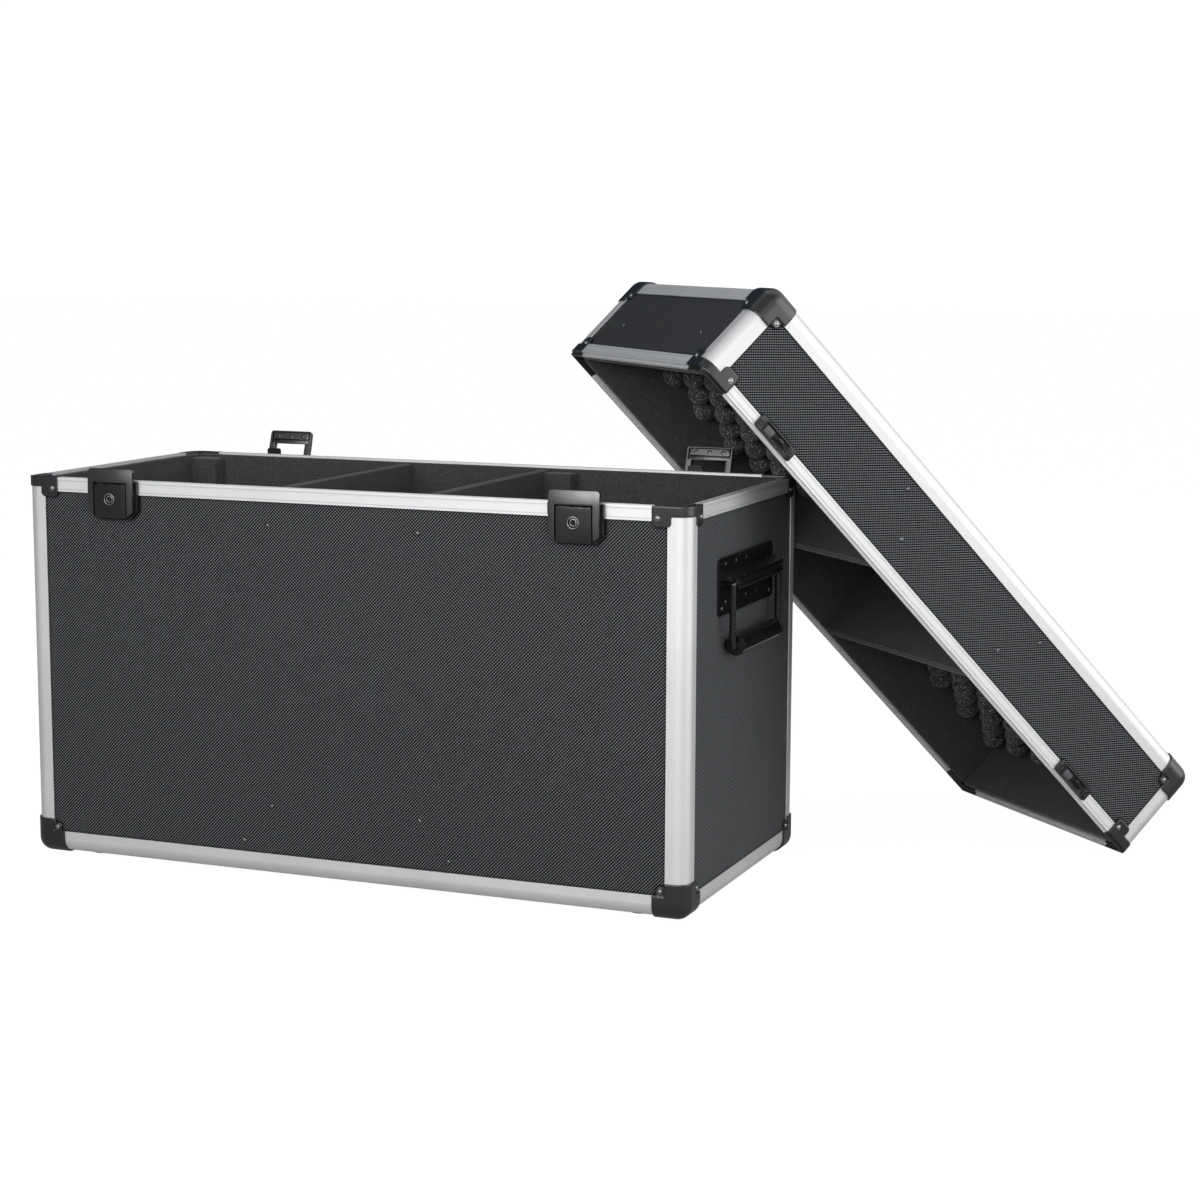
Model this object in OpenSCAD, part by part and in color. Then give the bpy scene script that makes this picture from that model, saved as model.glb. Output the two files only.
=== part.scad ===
// Flight case for a pair of stage lights: an open base, and its loose lid leaning on one corner of it.
// Origin: on the floor, under the middle of the two together. X runs along the base, its front is at -Y, Z is up.

/* [Case] */
// Outer length of the base and the lid, over the profiles
case_length = 800; // [720:10:900]
// Outer depth of the base and the lid, over the profiles
case_depth = 364; // [330:2:420]
// Height of the base from its lower profile to its rim
base_height = 434; // [400:2:470]
// Height of the lid from its rim to its top
lid_height = 124; // [120:1:150]
// Thickness of the laminated board
panel_t = 7; // [5:0.5:9]
// Height of the feet under the lower profile
foot_height = 5; // [3:0.5:9]

/* [Leaning lid] */
// Turn of the lid about the upright, away from the length of the base
lid_yaw = 45; // [40:1:50]
// How far the base's corner stands above the plane of the lid's rim, measured straight up
corner_reach = 81.7; // [76:0.1:86]
// How far the lid sits to one side of the base's corner
lid_side_shift = 4.6; // [0:0.2:9]

/* [Profiles] */
// Width of the quarter round profile on each face
rail_w = 24; // [21:0.5:28]
// Radius of the quarter round profile
rail_r = 14; // [12:0.5:16]
// Wall of the aluminium that laps the board
skin_t = 1.2; // [0.8:0.1:1.6]
// Width of the flat rim band
rim_w = 16; // [14:0.5:19]
// Height of the tongue on the lid's rim
tongue_h = 3; // [2:0.5:4]

/* [Corners] */
// Length of a ball corner along each edge
cap_l = 38; // [34:1:44]
// Wall of a ball corner over the profiles
cap_t = 2; // [1.5:0.25:3]
// Length of a rim corner along the long side
rim_corner_long = 41; // [38:1:46]
// Length of a rim corner along the end
rim_corner_short = 37; // [35:1:42]
// Wall of a rim corner over the band
ear_t = 1.4; // [1:0.1:2]
// How far the ears of a rim corner hang below the rim
ear_h = 22; // [19:0.5:26]

/* [Lining] */
// Thickness of the lining on the walls
lining_t = 9.2; // [7:0.2:12]
// Thickness of the floor pad
floor_pad_t = 12; // [8:1:20]
// Distance of each divider from the middle
divider_x = 91; // [80:1:110]
// Thickness of a divider
divider_t = 12; // [9:0.5:16]
// Width of a corner block of foam
block_w = 36; // [25:1:45]
// Depth of a corner block of foam
block_d = 22; // [15:1:30]
// Spacing of the knobs of the lid's foam along the lid
knob_pitch_x = 58; // [54:1:66]
// Spacing of the knobs of the lid's foam across the lid
knob_pitch_y = 56; // [52:1:62]
// Radius of a knob at its root
knob_r = 14.5; // [12:0.5:17]
// Thickness of the solid back of the knobbed foam
pad_back_t = 26; // [20:1:30]

/* [Latches] */
// Distance of each latch from the end of the case
latch_in = 120; // [100:1:140]
// How far the front latches sit to the left of the rear ones
latch_shift = 4; // [0:0.5:8]
// Width of the latch's cover
cover_w = 57; // [52:1:60]
// How far the cover stands above the rim
cover_up = 13; // [11:0.5:15]
// How far the cover reaches below the rim
cover_down = 41.5; // [39:0.5:44]
// Width of the lever
lever_w = 40; // [36:0.5:42]
// How far the rear levers are swung open
lever_open = 75; // [60:1:80]
// Length of a strike on the lid
strike_l = 58; // [56:1:64]

/* [Handles] */
// Width of a handle's plate
plate_w = 182; // [176:1:200]
// Distance from the base's rim down to the handle's hinge
handle_drop = 92.5; // [88:0.5:120]
// Distance from the bail's hinge to the middle of its grip
bail_drop = 67; // [62:1:75]
// Distance between the legs of the bail
bail_w = 154; // [150:1:160]
// Diameter of the bail's wire
wire_d = 7; // [6:0.5:8]
// Diameter of the grip
grip_d = 20; // [18:0.5:24]

/* [Hidden] */

// Colours
board_grey = [0.16, 0.17, 0.18];
aluminium = [0.85, 0.86, 0.87];
plastic_black = [0.07, 0.07, 0.08];
steel = [0.6, 0.6, 0.62];
foam_grey = [0.2, 0.2, 0.19];
rubber_black = [0.1, 0.1, 0.1];

// Fineness of the round pieces, the overrun of the cuts, and the seam between strips that meet
$fn = 48;
cut = 1;
seam = 0.3;

// Half sizes of the box
half_l = case_length / 2;
half_d = case_depth / 2;
latch_x = half_l - latch_in;
handle_z = base_height - handle_drop;

// Depths measured inward from the outer faces: the board's back, the rim's back and the lining's face
board_back = skin_t + panel_t;
rim_back = board_back + skin_t;
room = board_back + lining_t;

// Rim: solid lip over the board, groove and tongue, and the two fine lines on its face. The lid's rim is narrower,
// so that its tongue ends where the lid does
rim_lip = 5;
lid_rim_h = lid_height - tongue_h;
lid_rim_w = rim_w - tongue_h;
groove_u = rim_back / 2;
groove_w = 3.2;
groove_d = 3.6;
tongue_w = 2.4;
rim_line_w = 0.7;
rim_line_d = 0.4;
rim_line_shares = [0.3, 0.86];

// Rim corner: band round the corner, start of its ears, rounding of the ears
corner_band_h = 11;
ear_start = 20;
ear_r = 5;
rim_rivet_z = -12.6;
rim_rivet_in = 6.5;

// Ball corner: tab on each face, with its rivet
tab_l = 10;
tab_end = rail_w + tab_l;
tab_t = 0.8;
tab_r = 4;
tab_rivet = rail_w + tab_l / 2;

// Rivets and screws: radius and height of the heads
rivet_r = 3.1;
rivet_h = 1.7;
screw_r = 2.6;
screw_h = 1.1;
// Screws that hold the dividers, and the ones beside the lower rail
divider_screw_low = 78;
divider_screw_drop = 42;
edge_screw_x = 126;
edge_screw_z = 36;
lid_divider_screw_drop = 45;
lid_end_screw_y = 104;
lid_end_screw_drop = 50;

// Feet
foot_r = 12;
foot_tip_r = 10.5;
foot_in_x = 65;
foot_in_y = 37;

// Lining: clearance under the rim, round the rim's back, and the drop of dividers and blocks below the rim
lining_drop = 2;
lining_gap = 0.3;
divider_drop = 3;
block_drop = 5.5;
lid_divider_drop = 0.5;

// Knobbed foam: distance of the first row from the divider, shares of a knob's radius and height along its side,
// and the gap to the base's corner
knob_first = 26.8;
knob_r_shares = [1, 0.97, 0.86, 0.62, 0.4];
knob_h_shares = [0, 0.42, 0.74, 0.93, 1];
rest_gap = 0.4;

// Leaning lid: a rim's lower end stands on its two proud rim corners, which start behind the tongue
corner_top = foot_height + base_height;
lean_run = half_l + divider_x + divider_t / 2 + lining_gap;
lid_lean = asin((corner_top - corner_reach) / norm([lean_run + ear_t, tongue_h])) + atan2(tongue_h, lean_run + ear_t);
lid_lift = ear_t * sin(lid_lean) - tongue_h * cos(lid_lean);
// Directions in plan: down the slope, and across it
down_dir = [cos(lid_yaw), sin(lid_yaw)];
side_dir = [-sin(lid_yaw), cos(lid_yaw)];
corner_xy = [half_l, half_d];
lid_foot = corner_xy + down_dir * lean_run * cos(lid_lean) + side_dir * lid_side_shift;
lid_middle = lid_foot - down_dir * half_l * cos(lid_lean);
lid_middle_z = half_l * sin(lid_lean) + lid_lift;
// Depth of the base's rounded corner inside the lid, and the level of the knobs' tips
axis_xy = corner_xy - [rail_r, rail_r];
corner_e = (axis_xy - corner_xy) * down_dir + rail_r + ear_t;
corner_depth = corner_e * sin(lid_lean) + corner_reach * cos(lid_lean);
knob_tip_z = corner_depth + rest_gap;
lid_ceiling = lid_height - board_back;
pad_face_z = lid_ceiling - pad_back_t;
knob_h = pad_face_z - knob_tip_z;

// Latch, in its own frame: x along the rim, y = 0 on the rim's face, outward is -y, z = 0 on the rim
latch_back = -3.8;
latch_face = -12;
face_r = 165;
mount_side = 3;
mount_w = cover_w + 2 * mount_side;
mount_t = 3.5;
mount_top = -0.8;
mount_down = 43;
mount_chamfer = 9;
side_rib_w = 0.8;
side_rib_out = 1.5;
side_rib_h = 13;
slot_w = lever_w + 3;
slot_top = -2;
arm_chamfer_x = 9;
arm_chamfer_z = 6.5;
// Lever hinge and the hook's pivot, the two axes of the toggle
lever_axis = [0, -7.2, -5];
hook_axis = [0, -6.6, -25];
barrel_r = 2.4;
barrel_gap = 0.5;
pin_r = 1.25;
pin_gap = 0.3;
// Places of the barrels along the lever hinge: half the middle one, the mount's pair, the outer pair
barrel_in = 4;
barrel_mid = [4.4, 10.6];
barrel_out = [11, 18.5];
pin_half = 18.3;
lever_t = 3;
lever_face = -11.5;
lever_face_r = face_r - (lever_face - latch_face);
lever_down = 42;
lever_rib_t = 3;
lever_rib_back = -4.5;
lever_lip_t = 1.5;
trunnion_r = 1.6;
trunnion_gap = 0.3;
trunnion_end = 25;
// Hook block behind the cover, and the moulding marks on it
block_side = 3.7;
hook_block_z = [2.5, 10.2];
hook_block_back = -4.3;
pocket_top = 1.5;
pocket_floor = -8.3;
pocket_side = 2.2;
mark_r = 2.3;
mark_d = 0.3;
mark_share = 0.6;
// Lock: centre, collar, barrel, plug and key slot
lock_z = -20.5;
collar_r = 6.8;
collar_h = 0.6;
lock_bore_r = 5.5;
lock_r = 5.2;
lock_plug_r = 3.6;
lock_face = -10.2;
plug_face = -11.6;
lock_back = -5;
lock_boss_r = 7.4;
key_w = 1.5;
key_h = 5.2;
key_d = 3.5;
key_eye_r = 1.3;
cam_w = 4;
cam_l = 8.5;
cam_back = -3.8;
cam_t = 0.8;
// Tongue on the mount that the strike's slot takes
guide_x = 6;
guide_w = 18;
guide_up = 7;
guide_y = [-2.9, -0.4];
guide_r = 3;
// Strike on the lid's rim
strike_bottom = 0.6;
strike_top = 16;
strike_t = 3.1;
strike_r = 3;
strike_mid_w = 38;
strike_ridge_z = [13.2, 15.2];
strike_ridge_t = 5.6;
strike_boss_in = 5;
strike_boss_r = 3.6;
strike_boss_t = 3.6;
strike_hole_r = 2;
strike_hole_d = 1.2;
strike_ledge_z = [0.6, 2.2];
strike_ledge_out = -7.6;
strike_step_x = [-17, -4.4];
strike_step_z = [3.4, 12];
strike_step_t = 0.6;
strike_slot_gap = 0.6;

// Position of the rear levers: the pivot after the swing, and the tilt of the cover
function swing(p, a) = [p[0], p[1] * cos(a) - p[2] * sin(a), p[1] * sin(a) + p[2] * cos(a)];
hook_ratio = 1.25;
function hook_pivot(a) = lever_axis + swing(hook_axis - lever_axis, -a);

// Handle, in its own frame: x across the end, y = 0 on the board, outward is -y, z = 0 on the hinge
plate_t = 1.6;
plate_up = 27.5;
plate_down = 33.5;
plate_r = 5;
hinge_out = 12.7;
hood_side = 3;
hood_top = 14;
hood_shoulder = 8;
hood_lip = 5;
hood_out = 15.2;
curl_r = 6.6;
curl_gap = 0.3;
curl_side = 4;
curl_web_t = 1.6;
bail_tail = 20;
bail_bend_r = 8;
grip_end_gap = 2;
ring_w = 3;
ring_t = 0.6;
grip_bore_gap = 0.1;
dimple_r = 5;
dimple_h = 0.9;
dimple_count = 5;
dimple_pitch = 34;
dimple_z = [-20.5, 20.5];
handle_screw_x = 80;
handle_screw_low = -26;

// Reach of the whole from the middle of the base, which places the origin under the middle of the whole
grip_reach = half_l - skin_t + hinge_out + grip_d / 2 + ring_t;
front_reach = half_d - latch_face;
lean_reach = half_l * cos(lid_lean) + lid_height * sin(lid_lean);
ball_trim = rail_r * ((cos(lid_lean) + sin(lid_lean)) * cos(lid_yaw) + sin(lid_yaw)) - rail_r - cap_t;
lid_reach = [lid_middle[0] + lean_reach * cos(lid_yaw) + half_d * sin(lid_yaw) - ball_trim,
    lid_middle[1] + lean_reach * sin(lid_yaw) + half_d * cos(lid_yaw) - ball_trim];
base_at = [(grip_reach - lid_reach[0]) / 2, (front_reach - lid_reach[1]) / 2];

// Frames of the two halves, and mirrored copies on the four sides
module on_floor() translate(base_at) children();

module in_base() on_floor() translate([0, 0, foot_height]) children();

// Lid frame: z = 0 on the rim, z grows towards the top of the lid, x runs down the slope
module in_lid() {
    on_floor() translate([lid_middle[0], lid_middle[1], lid_middle_z]) rotate([0, lid_lean, lid_yaw]) children();
}

// Lid drawn as a shallow base: z = 0 on its closed side, the rim at lid_height
module in_lid_shell() in_lid() translate([0, 0, lid_height]) mirror([0, 0, 1]) children();

module four_corners() for (mx = [0, 1], my = [0, 1]) mirror([mx, 0, 0]) mirror([0, my, 0]) children();

module both_sides() for (my = [0, 1]) mirror([0, my, 0]) children();

// A square whose outer corner is round, with its sides on the axes
module round_corner_square(size, r) {
    difference() {
        square(size);
        difference() {
            translate([-cut, -cut]) square(r + cut);
            translate([r, r]) circle(r = r);
        }
    }
}

// Boards
module long_board(h) {
    color(board_grey)
        translate([-(half_l - rail_r), -(half_d - skin_t), rail_r])
            cube([2 * (half_l - rail_r), panel_t, h - rim_lip - rail_r]);
}

module end_board(h) {
    color(board_grey)
        translate([half_l - board_back, -(half_d - rail_r), rail_r])
            cube([panel_t, 2 * (half_d - rail_r), h - rim_lip - rail_r]);
}

module flat_board() {
    color(board_grey)
        translate([-(half_l - rail_r), -(half_d - rail_r), skin_t])
            cube([2 * (half_l - rail_r), 2 * (half_d - rail_r), panel_t]);
}

// Quarter round profile: the corner core, and a skin that laps each board
module rail_section() {
    difference() {
        round_corner_square(rail_w, rail_r);
        translate([rail_r, skin_t]) square(rail_w);
        translate([skin_t, rail_r]) square(rail_w);
    }
}

module posts(h) {
    color(aluminium)
        four_corners() translate([-half_l, -half_d, 0]) difference() {
            translate([0, 0, rail_r]) linear_extrude(h - corner_band_h - rail_r) rail_section();
            // room for the lower profiles' laps
            translate([rail_r, -cut, 0]) cube([rail_w, rail_w, rail_w]);
            translate([-cut, rail_r, 0]) cube([rail_w, rail_w, rail_w]);
        }
}

module closed_side_rails() {
    run_l = 2 * (half_l - rail_r);
    run_d = 2 * (half_d - rail_r - seam);
    color(aluminium) {
        both_sides()
            translate([-run_l / 2, -half_d, 0]) rotate([90, 0, 90]) linear_extrude(run_l) rail_section();
        for (mx = [0, 1]) mirror([mx, 0, 0]) difference() {
            translate([-half_l, run_d / 2, 0]) rotate([90, 0, 0]) linear_extrude(run_d) rail_section();
            // the laps on the closed side stop short of the long profiles
            both_sides() translate([-(half_l - rail_r) - seam, half_d - rail_w - seam, -cut])
                cube([rail_w, rail_w, skin_t + 2 * cut]);
        }
    }
}

// Rim profile, with its outer face on x = 0 and its top on y = 0
module rim_section(with_tongue) {
    w = with_tongue ? lid_rim_w : rim_w;
    difference() {
        translate([0, -w]) square([rim_back, w]);
        translate([skin_t, -w - cut]) square([panel_t, w - rim_lip + cut]);
        if (!with_tongue) translate([groove_u - groove_w / 2, -groove_d]) square([groove_w, groove_d + cut]);
        for (s = rim_line_shares) translate([-cut, -s * w]) square([rim_line_d + cut, rim_line_w]);
    }
    if (with_tongue) translate([groove_u - tongue_w / 2, -rim_lip / 2]) square([tongue_w, rim_lip / 2 + tongue_h]);
}

module rim_rails(h, with_tongue) {
    run_l = 2 * (half_l - rim_corner_long);
    run_d = 2 * (half_d - rim_corner_short);
    color(aluminium) {
        both_sides()
            translate([-run_l / 2, -half_d, h])
                rotate([90, 0, 90]) linear_extrude(run_l) rim_section(with_tongue);
        for (mx = [0, 1]) mirror([mx, 0, 0])
            translate([-half_l, run_d / 2, h])
                rotate([90, 0, 0]) linear_extrude(run_d) rim_section(with_tongue);
    }
}

// Ball corner, with the case's corner on the origin and the case on the positive side
module cap_section() {
    difference() {
        translate([-cap_t, -cap_t]) round_corner_square(rail_w + cap_t, rail_r + cap_t);
        difference() {
            square(rail_w + cut);
            difference() {
                translate([-cut, -cut]) square(rail_r + cut);
                translate([rail_r, rail_r]) circle(r = rail_r);
            }
        }
    }
}

module cap_leg() translate([0, 0, rail_r]) linear_extrude(cap_l - rail_r) cap_section();

module cap_tab_outline(start) {
    difference() {
        translate([start, start]) square(tab_end - start);
        difference() {
            translate([tab_end - tab_r, tab_end - tab_r]) square(tab_r + cut);
            translate([tab_end - tab_r, tab_end - tab_r]) circle(r = tab_r);
        }
    }
}

module cap_tab() {
    translate([0, 0, -tab_t]) linear_extrude(tab_t) cap_tab_outline(rail_w - cap_t);
    linear_extrude(skin_t) cap_tab_outline(rail_w);
}

module ball_corner() {
    color(plastic_black) union() {
        cap_leg();
        rotate([90, 0, 90]) cap_leg();
        mirror([0, 1, 0]) rotate([90, 0, 0]) cap_leg();
        translate([rail_r, rail_r, rail_r]) rotate([0, 0, 180]) rotate_extrude(angle = 90) mirror([0, 1])
            intersection() {
                circle(r = rail_r + cap_t);
                square(rail_r + cap_t);
            }
        cap_tab();
        rotate([90, 0, 90]) cap_tab();
        mirror([0, 1, 0]) rotate([90, 0, 0]) cap_tab();
    }
}

module ball_corners() four_corners() translate([-half_l, -half_d, 0]) ball_corner();

// Rim corner, with the corner of the rim on the origin, the rim's top on z = 0
module lobe(w, h, r) {
    translate([0, -(h - r)]) square([w, h - r]);
    translate([r, -h]) square([w - 2 * r, h]);
    for (x = [r, w - r]) translate([x, -(h - r)]) circle(r = r);
}

module corner_l(out, in_u, long, short) {
    difference() {
        intersection() {
            translate([-out, -out]) round_corner_square(long + out, rail_r + out);
            square([2 * long + 2 * cut, 2 * (short + out)], center = true);
        }
        translate([in_u, in_u]) square(long);
    }
}

module corner_skin() {
    difference() {
        corner_l(ear_t, rail_w, rim_corner_long, rim_corner_short - ear_t);
        difference() {
            square(rim_corner_long + cut);
            difference() {
                translate([-cut, -cut]) square(rail_r + cut);
                translate([rail_r, rail_r]) circle(r = rail_r);
            }
        }
    }
}

module rim_corner(with_tongue) {
    long = rim_corner_long;
    short = rim_corner_short;
    color(plastic_black) union() {
        // body that carries the rim round the corner
        difference() {
            translate([0, 0, -corner_band_h]) linear_extrude(corner_band_h) corner_l(0, rim_back, long, short);
            translate([rail_r, skin_t, -corner_band_h - cut]) cube([long, panel_t, corner_band_h - rim_lip + cut]);
            translate([skin_t, rail_r, -corner_band_h - cut]) cube([panel_t, long, corner_band_h - rim_lip + cut]);
            if (!with_tongue) translate([0, 0, -groove_d]) linear_extrude(groove_d + cut)
                corner_path(groove_w, long + cut, long + cut);
        }
        if (with_tongue) translate([0, 0, -rim_lip / 2]) linear_extrude(rim_lip / 2 + tongue_h)
            corner_path(tongue_w, long, short);
        // proud band and the two ears
        translate([0, 0, -corner_band_h]) linear_extrude(corner_band_h) corner_skin();
        translate([ear_start, 0, 0]) rotate([90, 0, 0]) linear_extrude(ear_t) lobe(long - ear_start, ear_h, ear_r);
        translate([0, ear_start, 0]) rotate([90, 0, -90]) mirror([1, 0, 0])
            linear_extrude(ear_t) lobe(short - ear_start, ear_h, ear_r);
        // fill behind the ears, beside the post
        translate([rail_w, 0, -rim_w]) cube([long - rail_w, skin_t, rim_w - corner_band_h / 2]);
        translate([0, rail_w, -rim_w]) cube([skin_t, short - rail_w, rim_w - corner_band_h / 2]);
    }
}

module corner_path(w, long, short) {
    translate([groove_u - w / 2, groove_u - w / 2]) square([long - groove_u + w / 2, w]);
    translate([groove_u - w / 2, groove_u - w / 2]) square([w, short - groove_u + w / 2]);
}

module rim_corners(h, with_tongue) four_corners() translate([-half_l, -half_d, h]) rim_corner(with_tongue);

// Round head with its flat side on z = 0
module head(r, h) {
    ball_r = (r * r + h * h) / (2 * h);
    intersection() {
        translate([0, 0, h - ball_r]) sphere(r = ball_r);
        translate([-r - cut, -r - cut, 0]) cube([2 * (r + cut), 2 * (r + cut), h + cut]);
    }
}

// Heads on the front face, pointing out along -y, and on the end face, pointing out along -x
module front_head(x, out, z, r, h) translate([x, -half_d - out, z]) rotate([90, 0, 0]) head(r, h);

module end_head(y, out, z, r, h) translate([-half_l - out, y, z]) rotate([0, -90, 0]) head(r, h);

module corner_rivets(h) {
    color(steel) four_corners() {
        front_head(-(half_l - tab_rivet), tab_t, tab_rivet, rivet_r, rivet_h);
        end_head(-(half_d - tab_rivet), tab_t, tab_rivet, rivet_r, rivet_h);
        front_head(-(half_l - rim_corner_long + rim_rivet_in), ear_t, h + rim_rivet_z, rivet_r, rivet_h);
        end_head(-(half_d - rim_corner_short + rim_rivet_in), ear_t, h + rim_rivet_z, rivet_r, rivet_h);
        translate([-(half_l - tab_rivet), -(half_d - tab_rivet), -tab_t]) mirror([0, 0, 1]) head(rivet_r, rivet_h);
    }
}

module base_fixings() {
    corner_rivets(base_height);
    color(steel) four_corners() {
        for (z = [divider_screw_low, base_height - divider_screw_drop])
            front_head(-divider_x, -skin_t, z, screw_r, screw_h);
        front_head(-edge_screw_x, -skin_t, edge_screw_z, screw_r, screw_h);
    }
    for (side = [0, 1]) mirror([side, 0, 0])
        translate([-(half_l - skin_t), 0, handle_z]) rotate([0, 0, -90]) handle_screws();
}

module lid_fixings() {
    corner_rivets(lid_rim_h);
    color(steel) four_corners() {
        front_head(-divider_x, -skin_t, lid_height - lid_divider_screw_drop, screw_r, screw_h);
        front_head(-edge_screw_x, -skin_t, edge_screw_z, screw_r, screw_h);
        end_head(-lid_end_screw_y, -skin_t, lid_height - lid_end_screw_drop, screw_r, screw_h);
    }
}

module feet() {
    color(rubber_black)
        four_corners()
            translate([-(half_l - foot_in_x), -(half_d - foot_in_y), 0])
                cylinder(r1 = foot_tip_r, r2 = foot_r, h = foot_height + skin_t);
}

// Lining of the walls, notched behind the rim's back skin
module wall_lining(h, from_z) {
    notch = skin_t + lining_gap;
    top = h - lining_drop;
    color(foam_grey) {
        both_sides() difference() {
            translate([-(half_l - room - seam), -(half_d - board_back), from_z])
                cube([2 * (half_l - room - seam), lining_t, top - from_z]);
            translate([-half_l, -(half_d - board_back) - cut, h - rim_w - lining_gap])
                cube([2 * half_l, notch + cut, rim_w + cut]);
        }
        for (mx = [0, 1]) mirror([mx, 0, 0]) difference() {
            translate([-(half_l - board_back), -(half_d - rail_r), from_z])
                cube([lining_t, 2 * (half_d - rail_r), top - from_z]);
            translate([-(half_l - board_back) - cut, -half_d, h - rim_w - lining_gap])
                cube([notch + cut, 2 * half_d, rim_w + cut]);
        }
    }
}

module floor_pad() {
    color(foam_grey)
        translate([-(half_l - room), -(half_d - room), board_back])
            cube([2 * (half_l - room), 2 * (half_d - room), floor_pad_t]);
}

module divider(x, z0, z1) {
    color(foam_grey)
        translate([x - divider_t / 2, -(half_d - room), z0])
            cube([divider_t, 2 * (half_d - room), z1 - z0]);
}

module foam_blocks() {
    z0 = board_back + floor_pad_t;
    color(foam_grey)
        both_sides()
            for (x = [-(half_l - room), divider_x + divider_t / 2])
                translate([x, -(half_d - room), z0])
                    cube([block_w, block_d, base_height - block_drop - z0]);
}

// Knobbed foam in one end of the lid: a solid back, and knobs in staggered rows that point out of the lid
module knob() {
    rotate_extrude()
        polygon(concat([[0, -cut], [knob_r, -cut]],
            [for (i = [0 : len(knob_r_shares) - 1]) [knob_r * knob_r_shares[i], knob_h * knob_h_shares[i]]],
            [[0, knob_h]]));
}

module knob_foam() {
    wide = half_d - room;
    x0 = divider_x + divider_t / 2;
    x1 = half_l - room;
    across = floor((wide - knob_r) / (knob_pitch_y / 2));
    along = floor((x1 - x0 - knob_first - knob_r) / (knob_pitch_x / 2));
    color(foam_grey) union() {
        translate([x0, -wide, pad_face_z]) cube([x1 - x0, 2 * wide, pad_back_t]);
        for (i = [0 : along], j = [-across : across])
            if ((i + j) % 2 != 0)
                translate([x0 + knob_first + i * knob_pitch_x / 2, j * knob_pitch_y / 2, pad_face_z])
                    mirror([0, 0, 1]) knob();
    }
}

// Latches
module at_latch(x, side) {
    on_floor() translate([side > 0 ? x : x - latch_shift, side * half_d, corner_top])
        rotate([0, 0, side > 0 ? 180 : 0]) children();
}

module along_x(x0, x1, p) translate([x0, p[1], p[2]]) rotate([0, 90, 0]) linear_extrude(x1 - x0) children();

module both_ways() for (mx = [0, 1]) mirror([mx, 0, 0]) children();

module latch_mount() {
    half = mount_w / 2;
    color(plastic_black) difference() {
        union() {
            rotate([90, 0, 0]) linear_extrude(mount_t) mount_outline();
            translate([-half + mount_chamfer, -skin_t, -mount_down]) cube([mount_w - 2 * mount_chamfer,
                2 * skin_t, mount_down - rim_w - lining_gap]);
            both_ways() {
                translate([barrel_mid[0], lever_axis[1], lever_axis[2] - barrel_r])
                    cube([barrel_mid[1] - barrel_mid[0], -mount_t - lever_axis[1] + cut, 2 * barrel_r]);
                along_x(barrel_mid[0], barrel_mid[1], lever_axis) circle(r = barrel_r);
                for (i = [0, 1])
                    translate([half - side_rib_w - i * 2 * side_rib_w, -mount_t - side_rib_out, mount_top - side_rib_h])
                        cube([side_rib_w, side_rib_out + cut, side_rib_h]);
            }
            translate([guide_x, guide_y[1], 0]) rotate([90, 0, 0]) linear_extrude(guide_y[1] - guide_y[0])
                guide_outline();
        }
        along_x(-mount_w, mount_w, lever_axis) circle(r = pin_r + pin_gap);
    }
}

module mount_outline() {
    half = mount_w / 2;
    polygon([[-half, mount_top], [half, mount_top], [half, -mount_down + mount_chamfer],
        [half - mount_chamfer, -mount_down], [-half + mount_chamfer, -mount_down],
        [-half, -mount_down + mount_chamfer]]);
}

module guide_outline() {
    half = guide_w / 2;
    translate([-half, mount_top - cut]) square([guide_w, guide_up - guide_r - mount_top + cut]);
    translate([-half + guide_r, mount_top]) square([guide_w - 2 * guide_r, guide_up - mount_top]);
    for (s = [-1, 1]) translate([s * (half - guide_r), guide_up - guide_r]) circle(r = guide_r);
}

// Outline in plan with a gently rounded outer face
module bowed(w, face, r, back) {
    intersection() {
        translate([0, face + r]) circle(r = r, $fn = 8 * $fn);
        translate([-w / 2, face]) square([w, back - face]);
    }
}

module lever_solid() {
    half = lever_w / 2;
    back = lever_face + lever_t;
    difference() {
        union() {
            translate([0, 0, -lever_down]) linear_extrude(lever_down + lever_axis[2])
                bowed(lever_w, lever_face, lever_face_r, back);
            both_ways() {
                translate([half - lever_rib_t, back - cut, -lever_down])
                    cube([lever_rib_t, lever_rib_back - back + cut, lever_down + lever_axis[2] - barrel_r]);
                along_x(half - lever_rib_t, trunnion_end, hook_axis) circle(r = trunnion_r);
                along_x(barrel_out[0], barrel_out[1], lever_axis) circle(r = barrel_r);
            }
            along_x(-barrel_in, barrel_in, lever_axis) circle(r = barrel_r);
            translate([-half, back - cut, -lever_down]) cube([lever_w, lever_rib_back - back, lever_lip_t]);
            translate([0, lock_back, lock_z]) rotate([90, 0, 0]) cylinder(r = lock_boss_r, h = lock_back - back + cut);
            translate([0, lever_face + cut, lock_z]) rotate([90, 0, 0]) cylinder(r = collar_r, h = collar_h + cut);
        }
        translate([0, lock_back + cut, lock_z]) rotate([90, 0, 0])
            cylinder(r = lock_bore_r, h = lock_back - lever_face + 3 * cut);
        both_ways() along_x(barrel_mid[0] - barrel_gap, barrel_mid[1] + barrel_gap / 2, lever_axis)
            circle(r = barrel_r + barrel_gap);
        along_x(-lever_w, lever_w, lever_axis) circle(r = pin_r + pin_gap);
    }
}

// Turns a piece of the lever's body by its opening
module with_lever(a) translate(lever_axis) rotate([-a, 0, 0]) translate(-lever_axis) children();

module latch_lever(a) color(plastic_black) with_lever(a) lever_solid();

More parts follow.
